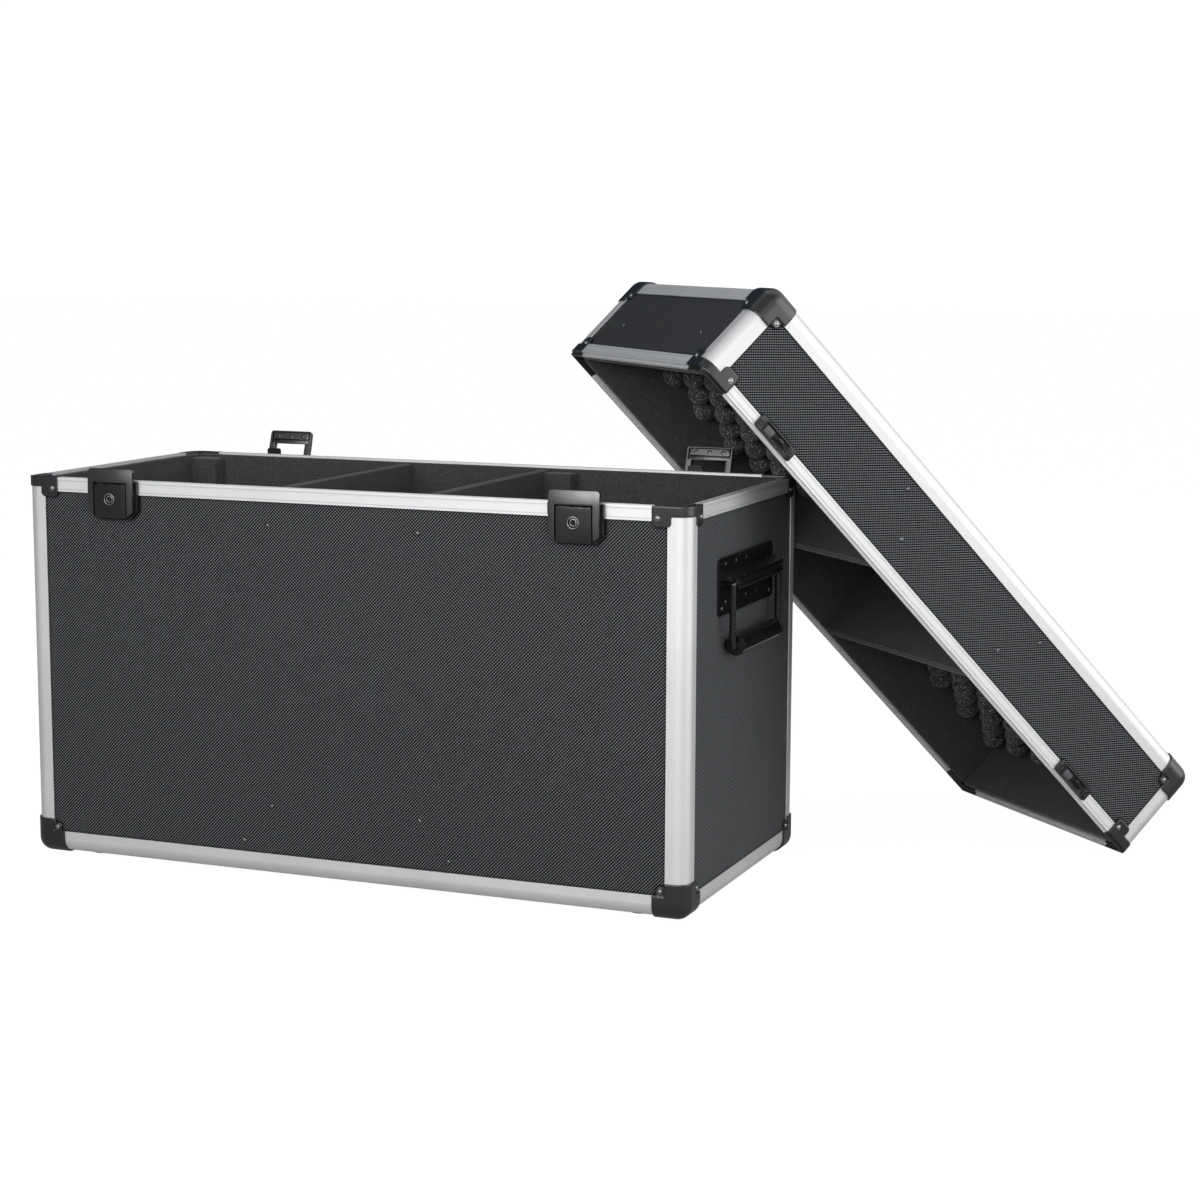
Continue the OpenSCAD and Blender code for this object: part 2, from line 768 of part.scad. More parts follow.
module latch_lock(a) {
    color(steel) with_lever(a) difference() {
        union() {
            translate([0, cam_back - cam_t / 2, lock_z]) rotate([90, 0, 0])
                cylinder(r = lock_r, h = cam_back - cam_t / 2 - lock_face);
            translate([0, lock_face + cut, lock_z]) rotate([90, 0, 0])
                cylinder(r = lock_plug_r, h = lock_face - plug_face + cut);
            translate([-cam_w / 2, cam_back - cam_t, lock_z]) cube([cam_w, cam_t, cam_l]);
        }
        translate([-key_w / 2, plug_face - cut, lock_z - key_h / 2]) cube([key_w, key_d + cut, key_h]);
        translate([0, plug_face + key_d, lock_z]) rotate([90, 0, 0]) cylinder(r = key_eye_r, h = key_d + cut);
    }
}

module hook_solid() {
    half = cover_w / 2;
    difference() {
        translate([0, 0, -cover_down]) linear_extrude(cover_down + cover_up)
            bowed(cover_w, latch_face, face_r, latch_back);
        translate([-slot_w / 2, latch_face - cut, -cover_down - cut])
            cube([slot_w, latch_back - latch_face + 2 * cut, cover_down + slot_top + cut]);
        difference() {
            translate([-half + pocket_side, pocket_floor, slot_top - cut])
                cube([cover_w - 2 * pocket_side, latch_back - pocket_floor + cut, cover_up - pocket_top - slot_top + cut]);
            translate([-half + block_side, pocket_floor - cut, hook_block_z[0]])
                cube([cover_w - 2 * block_side, hook_block_back - pocket_floor + cut, hook_block_z[1] - hook_block_z[0]]);
        }
        for (s = [-mark_share, 0, mark_share])
            translate([s * half, hook_block_back + cut, (hook_block_z[0] + hook_block_z[1]) / 2])
                rotate([90, 0, 0]) cylinder(r = mark_r, h = mark_d + cut);
        both_ways() {
            along_x(slot_w / 2 - cut, trunnion_end + trunnion_gap * 2, hook_axis) circle(r = trunnion_r + trunnion_gap);
            translate([0, cut, 0]) rotate([90, 0, 0]) linear_extrude(cut - latch_face + cut)
                polygon([[half - arm_chamfer_x, -cover_down - cut], [half - arm_chamfer_x, -cover_down],
                    [half, -cover_down + arm_chamfer_z], [half + cut, -cover_down + arm_chamfer_z],
                    [half + cut, -cover_down - cut]]);
        }
    }
}

module latch_hook(a) {
    tilt = (hook_ratio - 1) * a;
    color(plastic_black)
        translate(hook_pivot(a)) rotate([tilt, 0, 0]) translate(-hook_axis) hook_solid();
}

module latch_pins() {
    color(steel)
        for (x = [-latch_x, latch_x], side = [-1, 1])
            at_latch(x, side) along_x(-pin_half, pin_half, lever_axis) circle(r = pin_r);
}

// Strike: x along the rim, y = 0 on the rim's face, outward is -y, z = 0 on the lid's rim
module plate_outline(w, z0, z1, r) {
    translate([-w / 2 + r, z0]) square([w - 2 * r, z1 - z0]);
    translate([-w / 2, z0 + r]) square([w, z1 - z0 - 2 * r]);
    for (x = [-w / 2 + r, w / 2 - r], z = [z0 + r, z1 - r]) translate([x, z]) circle(r = r);
}

module strike() {
    boss_x = strike_l / 2 - strike_boss_in;
    color(plastic_black) difference() {
        union() {
            rotate([90, 0, 0]) linear_extrude(strike_t) plate_outline(strike_l, strike_bottom, strike_top, strike_r);
            translate([-strike_mid_w / 2, -strike_ridge_t, strike_ridge_z[0]])
                cube([strike_mid_w, strike_ridge_t - strike_t / 2, strike_ridge_z[1] - strike_ridge_z[0]]);
            translate([-strike_l / 2 + strike_r, -strike_t / 2, lid_rim_w + lining_gap])
                cube([strike_l - 2 * strike_r, strike_t / 2 + skin_t, strike_top - lid_rim_w - lining_gap]);
            both_ways() translate([boss_x, 0, (strike_bottom + strike_top) / 2])
                rotate([90, 0, 0]) cylinder(r = strike_boss_r, h = strike_boss_t);
            translate([-strike_mid_w / 2, strike_ledge_out, strike_ledge_z[0]])
                cube([strike_mid_w, -strike_ledge_out - strike_t / 2, strike_ledge_z[1] - strike_ledge_z[0]]);
            translate([strike_step_x[0], -strike_t - strike_step_t, strike_step_z[0]])
                cube([strike_step_x[1] - strike_step_x[0], strike_t, strike_step_z[1] - strike_step_z[0]]);
        }
        translate([guide_x - guide_w / 2 - strike_slot_gap, -strike_t - cut, -cut])
            cube([guide_w + 2 * strike_slot_gap, strike_t + cut, guide_up + strike_slot_gap + cut]);
        both_ways() translate([boss_x, -strike_boss_t + strike_hole_d, (strike_bottom + strike_top) / 2])
            rotate([90, 0, 0]) cylinder(r = strike_hole_r, h = strike_hole_d + cut);
    }
}

module lid_strikes() {
    in_lid() for (x = [-latch_x, latch_x], side = [-1, 1])
        translate([side > 0 ? x : x - latch_shift, side * half_d, tongue_h])
            rotate([0, 0, side > 0 ? 180 : 0]) strike();
}

// Handles
module at_handle(side) {
    in_base() translate([side * (half_l - skin_t), 0, handle_z]) rotate([0, 0, side * 90]) children();
}

module handle_plate() {
    hood_half = plate_w / 2 - hood_side;
    curl_half = bail_w / 2 - curl_side;
    wire_r = wire_d / 2;
    color(plastic_black) difference() {
        union() {
            rotate([90, 0, 0]) linear_extrude(plate_t) plate_outline(plate_w, -plate_down, plate_up, plate_r);
            difference() {
                translate([-hood_half, 0, 0]) rotate([90, 0, 90]) linear_extrude(2 * hood_half) hood_outline(0);
                translate([-hood_half + plate_t, 0, 0]) rotate([90, 0, 90])
                    linear_extrude(2 * (hood_half - plate_t)) hood_outline(plate_t);
            }
            along_x(-curl_half, curl_half, [0, -hinge_out, 0]) circle(r = curl_r);
            translate([-curl_half, -hinge_out, -curl_web_t / 2]) cube([2 * curl_half, hinge_out, curl_web_t]);
            for (i = [0 : dimple_count - 1], z = dimple_z) {
                x = (i - (dimple_count - 1) / 2) * dimple_pitch;
                translate([x, -plate_t - dimple_h + dimple_r, z]) dimple(plate_t);
            }
        }
        along_x(-plate_w, plate_w, [0, -hinge_out, 0]) circle(r = wire_r + curl_gap);
    }
}

// Low round bump, whose ball is cut flush behind the sheet
module dimple(sheet) {
    intersection() {
        sphere(r = dimple_r);
        translate([-dimple_r, -dimple_r, -dimple_r]) cube([2 * dimple_r, dimple_h + sheet / 2, 2 * dimple_r]);
    }
}

module hood_outline(inset) {
    slope = inset * (hood_top - hood_shoulder) / (hood_out - plate_t);
    polygon([[-plate_t / 2, hood_top - slope - inset], [-hood_out + inset, hood_shoulder - slope / 2],
        [-hood_out + inset, hood_lip - inset], [-plate_t / 2, hood_lip - inset]]);
}

module handle_screws() {
    color(steel) for (sx = [-1, 1])
        translate([sx * handle_screw_x, -plate_t, handle_screw_low]) rotate([90, 0, 0]) head(screw_r, screw_h);
}

module handle_bail() {
    half = bail_w / 2;
    wire_r = wire_d / 2;
    color(steel) translate([0, -hinge_out, 0]) union() {
        both_ways() {
            along_x(half - bail_tail, half, [0, 0, 0]) circle(r = wire_r);
            translate([half, 0, 0]) sphere(r = wire_r);
            translate([half, 0, -bail_drop + bail_bend_r]) cylinder(r = wire_r, h = bail_drop - bail_bend_r);
            translate([half - bail_bend_r, 0, -bail_drop + bail_bend_r]) rotate([90, 0, 0])
                rotate([0, 0, -90]) rotate_extrude(angle = 90) translate([bail_bend_r, 0]) circle(r = wire_r);
        }
        along_x(-half + bail_bend_r, half - bail_bend_r, [0, 0, -bail_drop]) circle(r = wire_r);
    }
}

module handle_grip() {
    half = bail_w / 2 - bail_bend_r - grip_end_gap;
    color(plastic_black) translate([0, -hinge_out, -bail_drop]) difference() {
        union() {
            along_x(-half, half, [0, 0, 0]) circle(d = grip_d);
            both_ways() along_x(half - ring_w, half, [0, 0, 0]) circle(r = grip_d / 2 + ring_t);
        }
        along_x(-half - cut, half + cut, [0, 0, 0]) circle(r = wire_d / 2 + grip_bore_gap);
    }
}

// Base
in_base() long_board(base_height);  // base_front_panel
in_base() mirror([0, 1, 0]) long_board(base_height);  // base_rear_panel
in_base() mirror([1, 0, 0]) end_board(base_height);  // base_left_panel
in_base() end_board(base_height);  // base_right_panel
in_base() flat_board();  // base_bottom_panel
in_base() posts(base_height);  // base_posts
in_base() closed_side_rails();  // base_lower_rails
in_base() rim_rails(base_height, false);  // base_rim_rails
in_base() ball_corners();  // base_ball_corners
in_base() rim_corners(base_height, false);  // base_rim_corners
in_base() base_fixings();
on_floor() feet();
in_base() floor_pad();
in_base() wall_lining(base_height, rail_r);  // base_lining
in_base() divider(-divider_x, board_back + floor_pad_t, base_height - divider_drop);  // divider_left
in_base() divider(divider_x, board_back + floor_pad_t, base_height - divider_drop);  // divider_right
in_base() foam_blocks();

// Handles
at_handle(1) handle_plate();  // handle_right_plate
at_handle(1) handle_bail();  // handle_right_bail
at_handle(1) handle_grip();  // handle_right_grip
at_handle(-1) handle_plate();  // handle_left_plate
at_handle(-1) handle_bail();  // handle_left_bail
at_handle(-1) handle_grip();  // handle_left_grip

// Latches: the front pair is closed, the rear pair stands open
at_latch(-latch_x, -1) latch_mount();  // front_left_mount
at_latch(-latch_x, -1) latch_lever(0);  // front_left_lever
at_latch(-latch_x, -1) latch_hook(0);  // front_left_hook
at_latch(-latch_x, -1) latch_lock(0);  // front_left_lock
at_latch(latch_x, -1) latch_mount();  // front_right_mount
at_latch(latch_x, -1) latch_lever(0);  // front_right_lever
at_latch(latch_x, -1) latch_hook(0);  // front_right_hook
at_latch(latch_x, -1) latch_lock(0);  // front_right_lock
at_latch(-latch_x, 1) latch_mount();  // rear_left_mount
at_latch(-latch_x, 1) latch_lever(lever_open);  // rear_left_lever
at_latch(-latch_x, 1) latch_hook(lever_open);  // rear_left_hook
at_latch(-latch_x, 1) latch_lock(lever_open);  // rear_left_lock
at_latch(latch_x, 1) latch_mount();  // rear_right_mount
at_latch(latch_x, 1) latch_lever(lever_open);  // rear_right_lever
at_latch(latch_x, 1) latch_hook(lever_open);  // rear_right_hook
at_latch(latch_x, 1) latch_lock(lever_open);  // rear_right_lock
latch_pins();

// Lid
in_lid_shell() flat_board();  // lid_top_panel
in_lid_shell() long_board(lid_rim_h);  // lid_front_panel
in_lid_shell() mirror([0, 1, 0]) long_board(lid_rim_h);  // lid_rear_panel
in_lid_shell() mirror([1, 0, 0]) end_board(lid_rim_h);  // lid_upper_panel
in_lid_shell() end_board(lid_rim_h);  // lid_lower_panel
in_lid_shell() posts(lid_rim_h);  // lid_posts
in_lid_shell() closed_side_rails();  // lid_top_rails
in_lid_shell() rim_rails(lid_rim_h, true);  // lid_rim_rails
in_lid_shell() ball_corners();  // lid_ball_corners
in_lid_shell() rim_corners(lid_rim_h, true);  // lid_rim_corners
in_lid_shell() lid_fixings();
lid_strikes();
in_lid_shell() wall_lining(lid_rim_h, rail_r);  // lid_lining
in_lid_shell() divider(-divider_x, board_back, lid_rim_h - lid_divider_drop);  // lid_divider_upper
in_lid_shell() divider(divider_x, board_back, lid_rim_h - lid_divider_drop);  // lid_divider_lower
in_lid() mirror([1, 0, 0]) knob_foam();  // knob_foam_upper
in_lid() knob_foam();  // knob_foam_lower
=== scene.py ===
# %% [markdown]
# # A flight case for stage lights
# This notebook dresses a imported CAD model: a long padded case, and its loose lid leaning on one
# corner of it. The CAD nodes are a fixed frame. Boards, profiles, corners, handles and latch
# mounts keep their CAD shape and get a better finish. The foam, the latches' moving pieces, the
# strikes and the small fixings are modelled again here, at the places that the CAD gives.

# %% Load the frame
import bpy
import bmesh
import math
import random
from mathutils import Matrix, Vector


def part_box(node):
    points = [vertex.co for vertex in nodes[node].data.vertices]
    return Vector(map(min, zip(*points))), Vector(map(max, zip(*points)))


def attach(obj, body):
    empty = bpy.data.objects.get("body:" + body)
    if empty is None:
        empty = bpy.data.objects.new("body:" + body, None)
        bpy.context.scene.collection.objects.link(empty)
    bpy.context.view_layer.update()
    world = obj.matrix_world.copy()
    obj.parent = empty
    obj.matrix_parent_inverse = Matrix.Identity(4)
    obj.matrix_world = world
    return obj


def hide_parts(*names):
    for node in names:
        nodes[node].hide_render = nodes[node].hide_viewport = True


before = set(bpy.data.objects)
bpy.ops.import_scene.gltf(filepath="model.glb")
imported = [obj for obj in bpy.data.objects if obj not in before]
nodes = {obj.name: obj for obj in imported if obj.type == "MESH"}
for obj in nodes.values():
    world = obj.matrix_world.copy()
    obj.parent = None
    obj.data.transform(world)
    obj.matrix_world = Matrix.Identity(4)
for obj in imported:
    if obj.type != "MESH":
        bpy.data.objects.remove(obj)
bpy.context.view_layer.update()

# %% [markdown]
# ## Two places to work in
# The base stands square in the frame, so its own place is only a shift. The lid leans, so its
# place is a shift and two turns. Working in a piece's own place keeps its numbers simple, as on
# a bench, and one matrix then puts the finished mesh where the CAD has it.

# %% The places of the base and the lid
MM = 0.001
bottom_low, bottom_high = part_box("base_bottom_panel")
BASE_MID = ((bottom_low.x + bottom_high.x) / 2, (bottom_low.y + bottom_high.y) / 2)
FOOT = 5 * MM
LENGTH, DEPTH = 800 * MM, 364 * MM
BASE_HEIGHT, LID_HEIGHT = 434 * MM, 124 * MM
RIM_Z = FOOT + BASE_HEIGHT
LID_RIM = 3 * MM  # the lid's zero is the tip of its tongue, and its rim starts this far above it
LID_LEAN, LID_YAW = math.radians(46.1068), math.radians(45)
LID_MIDDLE = Vector((0.444448 + BASE_MID[0], 0.232954 + BASE_MID[1], 0.287182))

base_place = Matrix.Translation((BASE_MID[0], BASE_MID[1], FOOT))
lid_turn = Matrix.Rotation(LID_YAW, 4, "Z") @ Matrix.Rotation(LID_LEAN, 4, "Y")
lid_place = Matrix.Translation(LID_MIDDLE) @ lid_turn
BASE, LID = (base_place, "case"), (lid_place, "lid")  # each shell's place and body
print("base middle:", BASE_MID, "lid middle:", tuple(LID_MIDDLE))

# %% [markdown]
# ## Camera
# The photograph was matched to the sizes of the case with one camera: a long lens, a little
# above the rim of the base and to the right of its front. Two directions and a place say
# everything about it.

# %% Camera at the photograph's viewing angle
bpy.ops.object.camera_add(location=(0, 0, 0))
camera = bpy.context.object
camera.name = "camera"
camera.data.lens = 75.08
camera.data.sensor_width = 36
camera.data.clip_start, camera.data.clip_end = 0.05, 60
look_right = Vector((0.92719, 0.37458, 0.00414)).normalized()
look_ahead = Vector((-0.36999, 0.91746, -0.14621)).normalized()
look_up = look_right.cross(look_ahead)
eye = Vector((1.26228 + BASE_MID[0], -2.56320 + BASE_MID[1], 0.71756))
turn = Matrix((look_right, look_up, -look_ahead)).transposed()
camera.matrix_world = Matrix.Translation(eye) @ turn.to_4x4()
bpy.context.scene.camera = camera
print("camera at", tuple(round(v, 3) for v in eye))

# %% [markdown]
# ## Shader nodes in few words
# A finish is a net of small nodes. Adding each by hand takes many lines, so one helper adds a
# node with its settings and fills its inputs: a number or a colour is written in, and an output
# is linked. The nodes that come back most often, which are sums, mixes and ranges, have a short
# helper each.

# %% Helpers for shader nodes
MIX_SHARE, MIX_A, MIX_B, MIX_OUT = 0, 6, 7, 2  # the sockets of a Mix node that mixes colours


def feed(tree, socket, value):
    """Links an output to a socket, or writes a number, a vector or a colour into it."""
    if isinstance(value, bpy.types.NodeSocket):
        tree.links.new(value, socket)
    else:
        socket.default_value = (*value, 1) if socket.type == "RGBA" else value


def add_node(tree, kind, inputs=None, **settings):
    n = tree.nodes.new("ShaderNode" + kind)
    for key, value in settings.items():
        setattr(n, key, value)
    for key, value in (inputs or {}).items():
        feed(tree, n.inputs[key], value)
    return n


def sum_node(tree, operation, *values, clamp=False):
    n = add_node(tree, "Math", dict(enumerate(values)), operation=operation, use_clamp=clamp)
    return n.outputs[0]


def mix(tree, share, a, b):
    """The colour a at a share of 0, and b at 1."""
    inputs = {MIX_SHARE: share, MIX_A: a, MIX_B: b}
    return add_node(tree, "Mix", inputs, data_type="RGBA").outputs[MIX_OUT]


def spread(tree, value, low, high):
    """Maps 0..1 to low..high."""
    inputs = {"Value": value, "To Min": low, "To Max": high}
    return add_node(tree, "MapRange", inputs).outputs["Result"]


def fade(tree, value, start, end):
    """A smooth step from 0 at start to 1 at end."""
    inputs = {"Value": value, "From Min": start, "From Max": end}
    n = add_node(tree, "MapRange", inputs, interpolation_type="SMOOTHSTEP")
    return n.outputs["Result"]


# %% [markdown]
# ## Light, floor and background
# The photograph is a cut-out on white, lit by large soft lights in front of the case, in a room
# that is dim behind it. The world therefore answers three kinds of ray: the camera sees pure
# white, a reflection sees a room that is bright in front and dim behind, and everything else
# gets a weak even light. The dim side is what turns the rails on the lid's upper end blue-grey
# and lets the end of the base fade.

# %% World
scene = bpy.context.scene
scene.view_settings.view_transform = "Standard"
scene.world = bpy.data.worlds.new("white studio")
scene.world.use_nodes = True
air = scene.world.node_tree
air.nodes.clear()
facing = add_node(air, "TexCoord").outputs["Generated"]


def toward(direction, start, end):
    """How far a ray points in a direction, from 0 at start to 1 at end."""
    along = add_node(air, "VectorMath", {0: facing, 1: direction}, operation="DOT_PRODUCT")
    return fade(air, along.outputs["Value"], start, end)


def backdrop(colour, strength=1.0):
    return add_node(air, "Background", {"Color": colour, "Strength": strength}).outputs[0]


DIM_ROOM, LIT_ROOM, WHITE_ROLL = (0.035, 0.055, 0.085), (0.26, 0.27, 0.285), (0.95, 0.955, 0.97)
room_colour = mix(air, toward((0.6, -0.8, 0.0), -0.80, -0.15), DIM_ROOM, LIT_ROOM)
# the white roll behind the case, on its right, is what the end of the base mirrors at a slant
room_colour = mix(air, toward((0.8, 0.6, 0.0), 0.2, 0.75), room_colour, WHITE_ROLL)
ray = add_node(air, "LightPath").outputs
even_light = backdrop((0.96, 0.98, 1.0), 0.32)
for_gloss = add_node(
    air, "MixShader", {"Fac": ray["Is Glossy Ray"], 1: even_light, 2: backdrop(room_colour)})
for_camera = add_node(
    air, "MixShader",
    {"Fac": ray["Is Camera Ray"], 1: for_gloss.outputs[0], 2: backdrop((1, 1, 1), 1.06)})
add_node(air, "OutputWorld", {"Surface": for_camera.outputs[0]})
print("world nodes:", len(air.nodes))


# %% Soft lamps
def soft_lamp(name, place, aim, size, watts):
    bpy.ops.object.light_add(type="AREA", location=place)
    lamp = bpy.context.object
    lamp.name = name
    lamp.data.shape = "RECTANGLE"
    lamp.data.size, lamp.data.size_y = size
    lamp.data.energy = watts
    lamp.rotation_euler = (Vector(aim) - Vector(place)).to_track_quat("-Z", "Y").to_euler()


soft_lamp("front softbox", (-0.5, -2.7, 1.5), (0, 0, 0.25), (1.7, 1.6), 27)
soft_lamp("front right fill", (1.7, -2.7, 1.3), (0.3, 0, 0.3), (1.6, 1.4), 9)
soft_lamp("right softbox", (2.7, 0.1, 0.9), (0.2, 0, 0.3), (3.0, 2.2), 41)
soft_lamp("top softbox", (0.0, 0.2, 2.6), (0, 0, 0.2), (2.2, 1.6), 9)
soft_lamp("right strip", (1.9, -2.2, 0.9), (0.25, -0.2, 0.35), (0.08, 1.3), 3)
soft_lamp("high strip", (0.35, -3.2, 1.0), (0.0, -0.3, 0.4), (3.5, 0.5), 48)

# %% Floor, which the camera sees almost white, and which still takes a soft shadow
FLOOR_SEEN, FLOOR_MIRRORED = 1.08, 0.28  # its glow for the camera, and in reflections
GLOWING_SHARE = 0.9  # the rest of it is plain, and shows the shadow
bpy.ops.mesh.primitive_plane_add(size=40, location=(0, 0, -0.2 * MM))
floor = bpy.context.object
floor.name = "floor"
floor_finish = bpy.data.materials.new("pale floor")
floor_finish.use_nodes = True
ground = floor_finish.node_tree
ground.nodes.clear()
ray = add_node(ground, "LightPath").outputs
brightness = spread(ground, ray["Is Camera Ray"], FLOOR_MIRRORED, FLOOR_SEEN)
glow = add_node(ground, "Emission", {"Color": (1, 1, 1), "Strength": brightness})
plain = add_node(ground, "BsdfDiffuse", {"Color": (0.78, 0.78, 0.78)})
looked_at = sum_node(ground, "MAXIMUM", ray["Is Camera Ray"], ray["Is Glossy Ray"])
glow_share = sum_node(ground, "MULTIPLY", looked_at, GLOWING_SHARE)
floor_mix = add_node(
    ground, "MixShader", {"Fac": glow_share, 1: plain.outputs[0], 2: glow.outputs[0]})
add_node(ground, "OutputMaterial", {"Surface": floor_mix.outputs[0]})
floor.data.materials.append(floor_finish)

# %% [markdown]
# ## Finishes: shared effects
# Several finishes need the same small effects: a moulded grain, a patch of uneven sheen, the
# dots pressed into the laminate, the cells of foam. Each is built once as a node group with its
# own sockets, and placed in every material that needs it with that material's sizes. All of
# them read a vector in metres.


# %% A helper for node groups
def effect(name, inputs, outputs):
    """A group. An input whose value is None takes a vector, and all else are numbers."""
    tree = bpy.data.node_groups.new(name, "ShaderNodeTree")
    for label, value in inputs.items():
        kind = "NodeSocketVector" if value is None else "NodeSocketFloat"
        socket = tree.interface.new_socket(name=label, in_out="INPUT", socket_type=kind)
        if value is not None:
            socket.default_value = value
    for label in outputs:
        tree.interface.new_socket(name=label, in_out="OUTPUT", socket_type="NodeSocketFloat")
    into, out = tree.nodes.new("NodeGroupInput"), tree.nodes.new("NodeGroupOutput")
    return tree, into.outputs, out.inputs


# %% Moulded grain: the fine skin of plastic and anodised metal, and slow patches of sheen
PATCH_CONTRAST, PATCH_LEVEL = 2.4, -0.7
grain, g_in, g_out = effect(
    "moulded grain", {"Vector": None, "Grains per metre": 1500.0, "Patches per metre": 14.0},
    ["Height", "Patches"])
here = g_in["Vector"]
fine = add_node(
    grain, "TexNoise", {"Vector": here, "Scale": g_in["Grains per metre"], "Detail": 3})
slow = add_node(
    grain, "TexNoise", {"Vector": here, "Scale": g_in["Patches per metre"], "Detail": 4})
patches = sum_node(
    grain, "MULTIPLY_ADD", slow.outputs["Fac"], PATCH_CONTRAST, PATCH_LEVEL, clamp=True)
feed(grain, g_out["Height"], fine.outputs["Fac"])
feed(grain, g_out["Patches"], patches)

# %% Pressed dots: the laminate's lattice, small domes on the corners of a slanting grid
DOT_EDGE, DOT_TOP = 0.37, 0.13  # where a dome starts and where it is full, as shares of the pitch
dots, d_in, d_out = effect("pressed dots", {"Across": 0.0, "Up": 0.0, "Pitch": 0.002}, ["Dot"])


def slanted(sign, stretch):
    """The squared distance from the middle of a cell, along one of the two slants."""
    both = sum_node(dots, "MULTIPLY_ADD", d_in["Up"], sign, d_in["Across"])
    cell = sum_node(dots, "FRACT", sum_node(dots, "DIVIDE", both, d_in["Pitch"]))
    off = sum_node(dots, "MULTIPLY", sum_node(dots, "SUBTRACT", cell, 0.5), stretch)
    return sum_node(dots, "MULTIPLY", off, off)


# a dot is longer along one slant than along the other
reach = sum_node(dots, "SQRT", sum_node(dots, "ADD", slanted(1.0, 0.66), slanted(-1.0, 1.0)))
feed(dots, d_out["Dot"], fade(dots, reach, DOT_EDGE, DOT_TOP))

# %% Foam cells: cut bubbles that leave tiny pits, and a painted glint on a few of them
cells, c_in, c_out = effect(
    "foam cells", {"Vector": None, "Cells per metre": 700.0}, ["Height", "Rim", "Shade"])
pits = add_node(
    cells, "TexVoronoi", {"Vector": c_in["Vector"], "Scale": c_in["Cells per metre"]}, feature="F1")
clouds = add_node(cells, "TexNoise", {"Vector": c_in["Vector"], "Scale": 40, "Detail": 3})
glint = add_node(cells, "SeparateColor", {"Color": pits.outputs["Color"]})
# painted glint: only the few cells with the highest random value are painted light
painted_glint = add_node(
    cells, "MapRange", {"Value": glint.outputs["Red"], "From Min": 0.80, "From Max": 0.97})
feed(cells, c_out["Height"], pits.outputs["Distance"])
feed(cells, c_out["Rim"], painted_glint.outputs["Result"])
feed(cells, c_out["Shade"], clouds.outputs["Fac"])
print("effects:", [group.name for group in (grain, dots, cells)])


# %% [markdown]
# ## Finishes: the materials
# Each material starts the same way: a Principled shader, the Object coordinates, and a Bevel
# node that softens the sharp CAD edges in the light without touching the mesh. Each ends the
# same way too, with a colour, a roughness and a bump.

# %% Helpers for materials
def skin_of(material):
    """The inputs of its Principled shader."""
    return material.node_tree.nodes["Principled BSDF"].inputs


def finish(name, metallic=0.0, edge=0.4, samples=4, place=None):
    """A material with edges of so many millimetres, its tree, skin, vector and bump."""
    m = bpy.data.materials.new(name)
    m.use_nodes = True
    t, skin = m.node_tree, skin_of(m)
    skin["Metallic"].default_value = metallic
    where = add_node(t, "TexCoord").outputs["Object"]
    if place is not None:
        # a Mapping node of the texture kind takes the lean away, so patterns follow the boards
        back = {"Vector": where, "Location": place.to_translation(), "Rotation": place.to_euler()}
        where = add_node(t, "Mapping", back, vector_type="TEXTURE").outputs["Vector"]
    soft = add_node(t, "Bevel", {"Radius": edge * MM}, samples=samples)
    bump = add_node(t, "Bump", {"Normal": soft.outputs["Normal"]})
    feed(t, skin["Normal"], bump.outputs["Normal"])
    return m, t, skin, where, bump.inputs


def cover_skin(t, skin, bump, colour, roughness, height, strength, depth):
    """Each value is an output, a number or a colour. The depth is in millimetres."""
    feed(t, skin["Base Color"], colour)
    feed(t, skin["Roughness"], roughness)
    feed(t, bump["Height"], height)
    feed(t, bump["Strength"], strength)
    feed(t, bump["Distance"], depth * MM)


def grain_on(t, where, grains, patches):
    inputs = {"Vector": where, "Grains per metre": grains, "Patches per metre": patches}
    return add_node(t, "Group", inputs, node_tree=grain).outputs


# %% Laminate: one finish for each way that a board faces, on the base and on the lid, each with its own painted light
def laminate(name, across, up, place=None, pitch=3.75 * MM, painted_lighting=1.0):
    m, t, skin, where, bump = finish(name, place=place)
    skin["Specular IOR Level"].default_value = 0.08
    parts = add_node(t, "SeparateXYZ", {"Vector": where}).outputs
    lattice = {"Across": parts[across], "Up": parts[up], "Pitch": pitch}
    dot = add_node(t, "Group", lattice, node_tree=dots).outputs["Dot"]
    patches = grain_on(t, where, 2500.0, 9.0)["Patches"]
    dark = (0.0006, 0.0007, 0.0008)
    # painted light: the dots' light colour is scaled by how brightly this face is lit
    light = (0.121 * painted_lighting, 0.128 * painted_lighting, 0.136 * painted_lighting)
    # the profiles stand a millimetre proud of the board: painted shade darkens it beside them
    inputs = {"Color": mix(t, dot, dark, light), "Distance": 4 * MM}
    beside = add_node(t, "AmbientOcclusion", inputs, samples=4).outputs
    # painted shade: the colour goes to black where the AO node finds a profile close by
    colour = mix(t, spread(t, beside["AO"], -0.7, 1.0), (0, 0, 0), beside["Color"])
    cover_skin(t, skin, bump, colour, spread(t, patches, 0.46, 0.58), dot, 0.5, 0.25)
    return m


# painted light: lighter dots on the base's ends and the lid's long sides, darker ones on the lid's
# ends
board_front = laminate("laminate front", "X", "Z")
board_end = laminate("laminate end", "Y", "Z", pitch=4.9 * MM, painted_lighting=1.5)
board_flat = laminate("laminate flat", "X", "Y")
lid_board_long = laminate("laminate lid long side", "X", "Z", lid_place, painted_lighting=1.15)
lid_board_end = laminate("laminate lid end", "Y", "Z", lid_place, painted_lighting=0.8)
lid_board_flat = laminate("laminate lid top", "X", "Y", lid_place)
